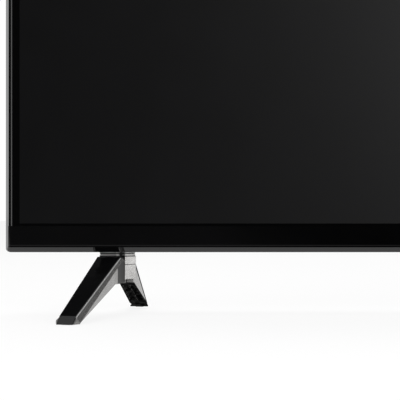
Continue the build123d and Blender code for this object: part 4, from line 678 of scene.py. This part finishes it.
def arc(radius, start, end, stroke, steps=28):
    """Outline of a bent stroke, from one angle in degrees to another."""
    angles = [radians(start + (end - start) * index / steps) for index in range(steps + 1)]
    outer, inner = radius + stroke / 2, radius - stroke / 2
    return ([(outer * cos(angle), outer * sin(angle)) for angle in angles]
            + [(inner * cos(angle), inner * sin(angle)) for angle in angles[::-1]])


mark_rise, mark_root, mark_stroke = 0.00015, 0.0001, 0.00045
half, stroke_reach = mark_stroke / 2, 0.0018
marks = {
    "power": [arc(0.0016, 125, 415, mark_stroke), bar(-half, half, 0.0004, 0.0023)],
    "input": [bar(-0.0021, 0.0006, -half, half),
              [(0.0003, -0.0011), (0.0016, 0), (0.0003, 0.0011)],
              arc(0.0022, -62, 62, mark_stroke)],
    "volume_down": [bar(-stroke_reach, stroke_reach, -half, half)],
    "volume_up": [bar(-stroke_reach, stroke_reach, -half, half),
                  bar(-half, half, -stroke_reach, -half), bar(-half, half, half, stroke_reach)],
}
for name, strokes in marks.items():
    low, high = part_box(name + "_button")
    middle = (low + high) / 2
    pile = bmesh.new()
    for stroke in strokes:
        raised(pile, stroke, middle.x, middle.z, high.y - mark_root, high.y + mark_rise)
    make_piece(name + "_mark", pile, mark_grey, body=name + "_button_cap")

# Rear cover: one large moulding in black plastic with a fine sparked grain, and a little dust on
# it. It closes the set, and its belly leaves room for the boards and the speakers.
cover_black = surface("rear_cover_plastic", dark=(0.012, 0.012, 0.013),
                      light=(0.017, 0.017, 0.018), patch=0.08, rough=(0.36, 0.48), grain=0.0009,
                      dent=0.00003)
pit_size, pit_depth, dust_size = 0.0011, 0.00005, 0.16
pits = add_node(cover_black.tree, "TexVoronoi", Vector=cover_black.place, Scale=1 / pit_size)
press(cover_black, pits.outputs["Distance"], pit_depth)
dust = add_node(cover_black.tree, "TexNoise", Vector=cover_black.place, Scale=1 / dust_size,
                Detail=6.0)
dust_mask = span(cover_black.tree, dust.outputs[0], 0.52, 0.75, 0.0, 0.25)
blend_in(cover_black, dust_mask, (0.036, 0.035, 0.033), 0.6)
dress(cover_black, "rear_cover", "io_panel")

# Mains inlet: a moulded black body round two round pins. It stands on the back of the power
# board and faces the recess in the cover's side.
inlet_black = surface("inlet_plastic", dark=(0.014, 0.014, 0.015), light=(0.020, 0.020, 0.021),
                      patch=0.01, rough=(0.3, 0.4), grain=0.0005, dent=0.00001)
dress(inlet_black, "ac_inlet")

# Cover screws: blackened steel with a pan head and a cross recess, sunk flush into the cover.
# They hold it to the bosses of the panel frame.
head_radius, head_height, head_round = 0.0040, 0.0024, 0.0004
shank_radius, point_radius, point_length = 0.0015, 0.0001, 0.0012
arm, arm_half, recess_depth, recess_draft = 0.0021, 0.00042, 0.0014, 0.55


def cross_screw(pile, x, z, face, seat, tip):
    """Add a screw along Y with a cross cut in its head, from the face to the tip of its shank."""
    rings = turned(pile, (x, 0, z), (0, 1, 0),
                   [(point_radius, tip), (shank_radius, tip + point_length),
                    (shank_radius, seat), (head_radius, seat), (head_radius, face - head_round),
                    (head_radius - head_round, face)])
    corners = []
    for quarter in range(4):
        across, up = cos(quarter * pi / 2), sin(quarter * pi / 2)
        for along, aside in ((arm_half, -arm_half), (arm, -arm_half), (arm, arm_half)):
            corners.append((along * across - aside * up, along * up + aside * across))
    top = [pile.verts.new((x + across, face, z + up)) for across, up in corners]
    low = [pile.verts.new((x + across * recess_draft, face - recess_depth, z + up * recess_draft))
           for across, up in corners]
    edges = []
    for loop in (rings[-1], top):
        for index, vert in enumerate(loop):
            after = loop[(index + 1) % len(loop)]
            edges.append(pile.edges.get((vert, after)) or pile.edges.new((vert, after)))
    bmesh.ops.triangle_fill(pile, use_beauty=True, use_dissolve=False, edges=edges)
    for index in range(len(top)):
        after = (index + 1) % len(top)
        pile.faces.new((top[index], top[after], low[after], low[index]))
    pile.faces.new(low)


pile = bmesh.new()
for low, high in islands("rear_cover_screws"):
    middle = (low + high) / 2
    cross_screw(pile, middle.x, middle.z, high.y, high.y - head_height, low.y)
screws = make_piece("cover_screws", pile, black_steel)
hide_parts("rear_cover_screws")

# Rating plate: a blank label of metallised film with rounded corners. It is stuck flat on the
# belly, between the holes for the wall mount.
plate_film = surface("label_film", dark=(0.52, 0.53, 0.54), light=(0.58, 0.59, 0.60), patch=0.01,
                     rough=(0.35, 0.45), grain=0.0006, dent=0.000004)
plate_half_width, plate_half_height, plate_corner = 0.045, 0.028, 0.003
plate_z, plate_root, plate_proud = 0.262, 0.0001, 0.00012
outline = []
for across, up, start in ((1, 1, 0), (-1, 1, 90), (-1, -1, 180), (1, -1, 270)):
    for step in range(7):
        angle = radians(start + 15 * step)
        outline.append((across * (plate_half_width - plate_corner) + plate_corner * cos(angle),
                        up * (plate_half_height - plate_corner) + plate_corner * sin(angle)))
belly_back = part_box("rear_cover")[1].y
pile = bmesh.new()
raised(pile, outline, 0.0, plate_z, belly_back - plate_root, belly_back + plate_proud)
make_piece("rating_plate", pile, plate_film)


# Front frame: a thin moulded rim in polished black, with bevelled outer edges. Handling leaves
# hair scratches in the gloss.
def piano_black(name, tone, rough):
    """Polished black plastic: deep and even, with sparse hair scratches."""
    finish = surface(name, dark=tone, light=[value * 1.4 for value in tone], patch=0.05,
                     rough=rough, grain=0.003, dent=0.0000003, IOR=1.46)
    scratch_cell, scratch_width, scratch_depth = 0.03, 0.004, 0.000001
    scratches = add_node(finish.tree, "TexVoronoi", feature="DISTANCE_TO_EDGE",
                         Vector=finish.place, Scale=1 / scratch_cell)
    hair = span(finish.tree, scratches.outputs["Distance"], 0.0, scratch_width, 1.0, 0.0)
    press(finish, hair, scratch_depth)
    return finish


rim_gloss = piano_black("rim_gloss", (0.0010, 0.0010, 0.0011), rough=(0.04, 0.07))
dress(rim_gloss, "front_frame")

# Chin bar: a separate strip of the same gloss, snapped over the frame's lower rail. The polish
# has softened the fine step along its lower edge, which catches the light.
chin_gloss = piano_black("chin_gloss", (0.0008, 0.0008, 0.0009), rough=(0.05, 0.08))
soft_up, soft_width, soft_depth = 0.0016, 0.0008, 0.00007
soft_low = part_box("chin_bar")[0].z + soft_up
soft_step = span(chin_gloss.tree, place_on(chin_gloss, "Z"), soft_low, soft_low + soft_width)
press(chin_gloss, soft_step, soft_depth)
dress(chin_gloss, "chin_bar")

# Remote window: a small drop of smoked acrylic that hangs just below the frame. It passes the
# remote control's light to the sensor board behind it.
smoked = surface("smoked_lens", dark=(0.012, 0.004, 0.006), light=(0.018, 0.007, 0.009),
                 patch=0.01, rough=(0.04, 0.08), grain=0.001, dent=0.0000006,
                 Transmission_Weight=0.4)
dress(smoked, "remote_sensor_window")

# Feet: hollow castings plated in bright satin nickel. A gloss black strip is let into the top of
# each leg, and the ribbed hollow underneath is left dark and rough.
foot_plate = surface("foot_satin_plate", dark=(0.31, 0.305, 0.30), light=(0.37, 0.365, 0.36),
                     patch=0.015, rough=(0.20, 0.30), grain=0.0005, dent=0.000003,
                     Specular_IOR_Level=0.0)
foot_tree = foot_plate.tree
foot_y, foot_z = place_on(foot_plate, "Y"), place_on(foot_plate, "Z")
off_middle = work_out(foot_tree, "ABSOLUTE", place_on(foot_plate, "X"))
foot_way = add_node(foot_tree, "TexCoord").outputs["Normal"]
facing = add_node(foot_tree, "SeparateXYZ", Vector=foot_way).outputs

# The brushing lies in fine uneven streaks
brushing_size, mottle_size = 0.0035, 0.004
brushing = add_node(foot_tree, "TexNoise", Vector=foot_plate.place, Scale=1 / brushing_size,
                    Detail=5.0)
brushed = span(foot_tree, brushing.outputs[0], 0.35, 0.65, 0.0, 0.2)
blend_in(foot_plate, brushed, (0.21, 0.205, 0.20), 0.36)

# Painted shade: a dark band in the groove between the front leg's root and the column, and a
# painted shade line across the column at its seam
column_near, column_far, groove_far = 0.3555, 0.3660, 0.3742
groove_front, groove_back = -0.009, 0.017
seam_front, seam_back, seam_low, seam_high = 0.011, 0.026, 0.0498, 0.0503
upright = span(foot_tree, facing["Z"], 0.25, 0.30, 1.0, 0.0)
root_groove_shade = all_of(foot_tree, upright,
                     within(foot_tree, off_middle, column_far, groove_far),
                     within(foot_tree, foot_y, groove_front, groove_back))
column_seam_shade = all_of(foot_tree, upright,
                     within(foot_tree, off_middle, column_near, column_far),
                     within(foot_tree, foot_y, seam_front, seam_back),
                     within(foot_tree, foot_z, seam_low, seam_high))
# Paint both shades in dark grey
blend_in(foot_plate, work_out(foot_tree, "MAXIMUM", root_groove_shade, column_seam_shade),
         (0.06, 0.06, 0.06), 0.4)


def flat_of(node, way, low_y, high_y):
    """Outermost large flat of a node that faces a way, as its normal and its distance."""
    least_area, least_turn = 0.00002, 0.93
    faces = [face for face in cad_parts[node].data.polygons
             if face.normal.dot(Vector(way)) > least_turn and low_y < face.center.y < high_y
             and face.area > least_area]
    face = max(faces, key=lambda face: face.center.dot(face.normal))
    return face.normal.copy(), face.center.dot(face.normal)


def depth_under(flat):
    """How deep a point of either foot lies under a flat that was read from the left one."""
    normal, distance = flat
    mirrored = add_node(foot_tree, "CombineXYZ", X=off_middle, Y=foot_y, Z=foot_z)
    product = add_node(foot_tree, "VectorMath", operation="DOT_PRODUCT", _0=mirrored.outputs[0],
                       _1=(-normal.x, normal.y, normal.z)).outputs["Value"]
    return work_out(foot_tree, "SUBTRACT", distance, product)


# A painted highlight runs along the front leg's upper edge beside the strip. On the rear legs the
# shoulder and the top of each side are black like the strip.
front_low, front_high = -0.097, -0.0165
rear_low, rear_high = 0.0345, 0.0895
front_end, rear_start = 0.011, 0.0265
edge_depth, black_near, black_far = 0.0014, 0.0070, 0.0076
shoulder = span(foot_tree, facing["Z"], 0.2, 0.3)
front_top = flat_of("left_foot_cover", (-0.1, -0.4, 0.9), front_low, front_high)
rear_top = flat_of("left_foot_cover", (0.1, 0.55, 0.83), rear_low, rear_high)
edge_highlight_paint = all_of(foot_tree, shoulder,
                       span(foot_tree, foot_y, front_end, front_end + 0.001, 1.0, 0.0),
                       span(foot_tree, depth_under(front_top), edge_depth, edge_depth + 0.0004,
                            1.0, 0.0))
# Paint the edge highlight near white
blend_in(foot_plate, edge_highlight_paint, (0.92, 0.92, 0.91), 0.5)
on_rear_leg = span(foot_tree, foot_y, rear_start, rear_start + 0.0005)
black_depth = span(foot_tree, foot_y, 0.027, 0.1, black_near, black_far)
past_black = work_out(foot_tree, "SUBTRACT", depth_under(rear_top), black_depth)
rear_shoulder = all_of(foot_tree, on_rear_leg,
                       span(foot_tree, past_black, 0.0, 0.0003, 1.0, 0.0))
blend_in(foot_plate, rear_shoulder, (0.010, 0.010, 0.011), 0.3)

# The small end face beside the strip on each front toe is painted darker than the leg, as painted
# shade, and is a little rougher
facing_front = span(foot_tree, facing["Y"], -0.6, -0.5, 1.0, 0.0)
toe_end_shade = all_of(foot_tree, facing_front,
                 span(foot_tree, foot_y, front_low - 0.0005, front_low, 1.0, 0.0))
# Paint the toe end's shade in a darker grey
blend_in(foot_plate, toe_end_shade, (0.19, 0.187, 0.183), 0.34)

# Everything inside the hollows, and all that faces down, is raw. The hollows lie deeper than the
# legs' walls.
wall_half = 0.001
raw_parts = work_out(foot_tree, "MAXIMUM", span(foot_tree, facing["Z"], -0.3, -0.15, 1.0, 0.0),
                     all_of(foot_tree, facing_front, span(foot_tree, foot_y, 0.0195, 0.0200)))
for low, high, inner, outer in ((front_low, front_high, (0.96, -0.29, 0), (-0.97, 0.25, 0)),
                                (rear_low, rear_high, (0.99, -0.14, 0), (-1, 0.1, 0))):
    between = [span(foot_tree, depth_under(flat_of("left_foot_body", way, low, high)),
                    wall_half, wall_half + 0.0002) for way in (inner, outer)]
    hollow = all_of(foot_tree, span(foot_tree, facing["Z"], 0.15, 0.2, 1.0, 0.0),
                    within(foot_tree, foot_y, low, high), *between)
    raw_parts = work_out(foot_tree, "MAXIMUM", raw_parts, hollow)
mottle = add_node(foot_tree, "TexNoise", Vector=foot_plate.place, Scale=1 / mottle_size,
                  Detail=4.0)
raw_tone = span(foot_tree, mottle.outputs[0], 0.42, 0.7, 0.003, 0.05)
raw = add_node(foot_tree, "CombineColor", Red=raw_tone, Green=raw_tone, Blue=raw_tone)
relink(foot_plate, raw_parts, "Base Color", raw.outputs[0])
unplated = work_out(foot_tree, "MAXIMUM", raw_parts, rear_shoulder)
plated = span(foot_tree, unplated, 0.0, 1.0, 0.8, 0.0)
foot_tree.links.new(plated, foot_plate.shader.inputs["Metallic"])
dress(foot_plate, "left_foot_body", "right_foot_body")

# Foot collars: neck plates stacked between each foot and the cabinet, with a line of painted
# shade at the joint under them and a band of painted shade for a groove round them.
collar_plate = surface("collar_satin_plate", dark=(0.46, 0.455, 0.45), light=(0.54, 0.535, 0.53),
                       patch=0.015, rough=(0.40, 0.48), grain=0.0005, dent=0.000003, Metallic=0.85)
collar_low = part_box("left_foot_collar")[0].z
joint_height, groove_low, groove_high = 0.0008, 0.0028, 0.0036
collar_up = place_on(collar_plate, "Z")
joint_shade = span(collar_plate.tree, collar_up, collar_low + joint_height,
             collar_low + joint_height + 0.0002, 1.0, 0.0)
groove_shade = within(collar_plate.tree, collar_up, collar_low + groove_low, collar_low + groove_high)
# Paint the joint's and the groove's shade near black
blend_in(collar_plate, work_out(collar_plate.tree, "MAXIMUM", joint_shade, groove_shade),
         (0.004, 0.004, 0.004), 0.6)
dress(collar_plate, "left_foot_collar", "right_foot_collar")

# Foot strips: injection moulded in polished black. They are clipped flush into the top of the
# legs and run down over the toes.
strip_gloss = piano_black("foot_strip_gloss", (0.0024, 0.0024, 0.0026), rough=(0.10, 0.16))
dress(strip_gloss, "left_foot_cover", "right_foot_cover")

# Foot pads: thin black rubber, cut to the shape of each toe and stuck under it, so that the feet
# don't slip or scratch.
pad_rubber = surface("pad_rubber", dark=(0.018, 0.018, 0.018), light=(0.030, 0.030, 0.030),
                     patch=0.003, rough=(0.75, 0.9), grain=0.0005, dent=0.00002)
dress(pad_rubber, "foot_pads")
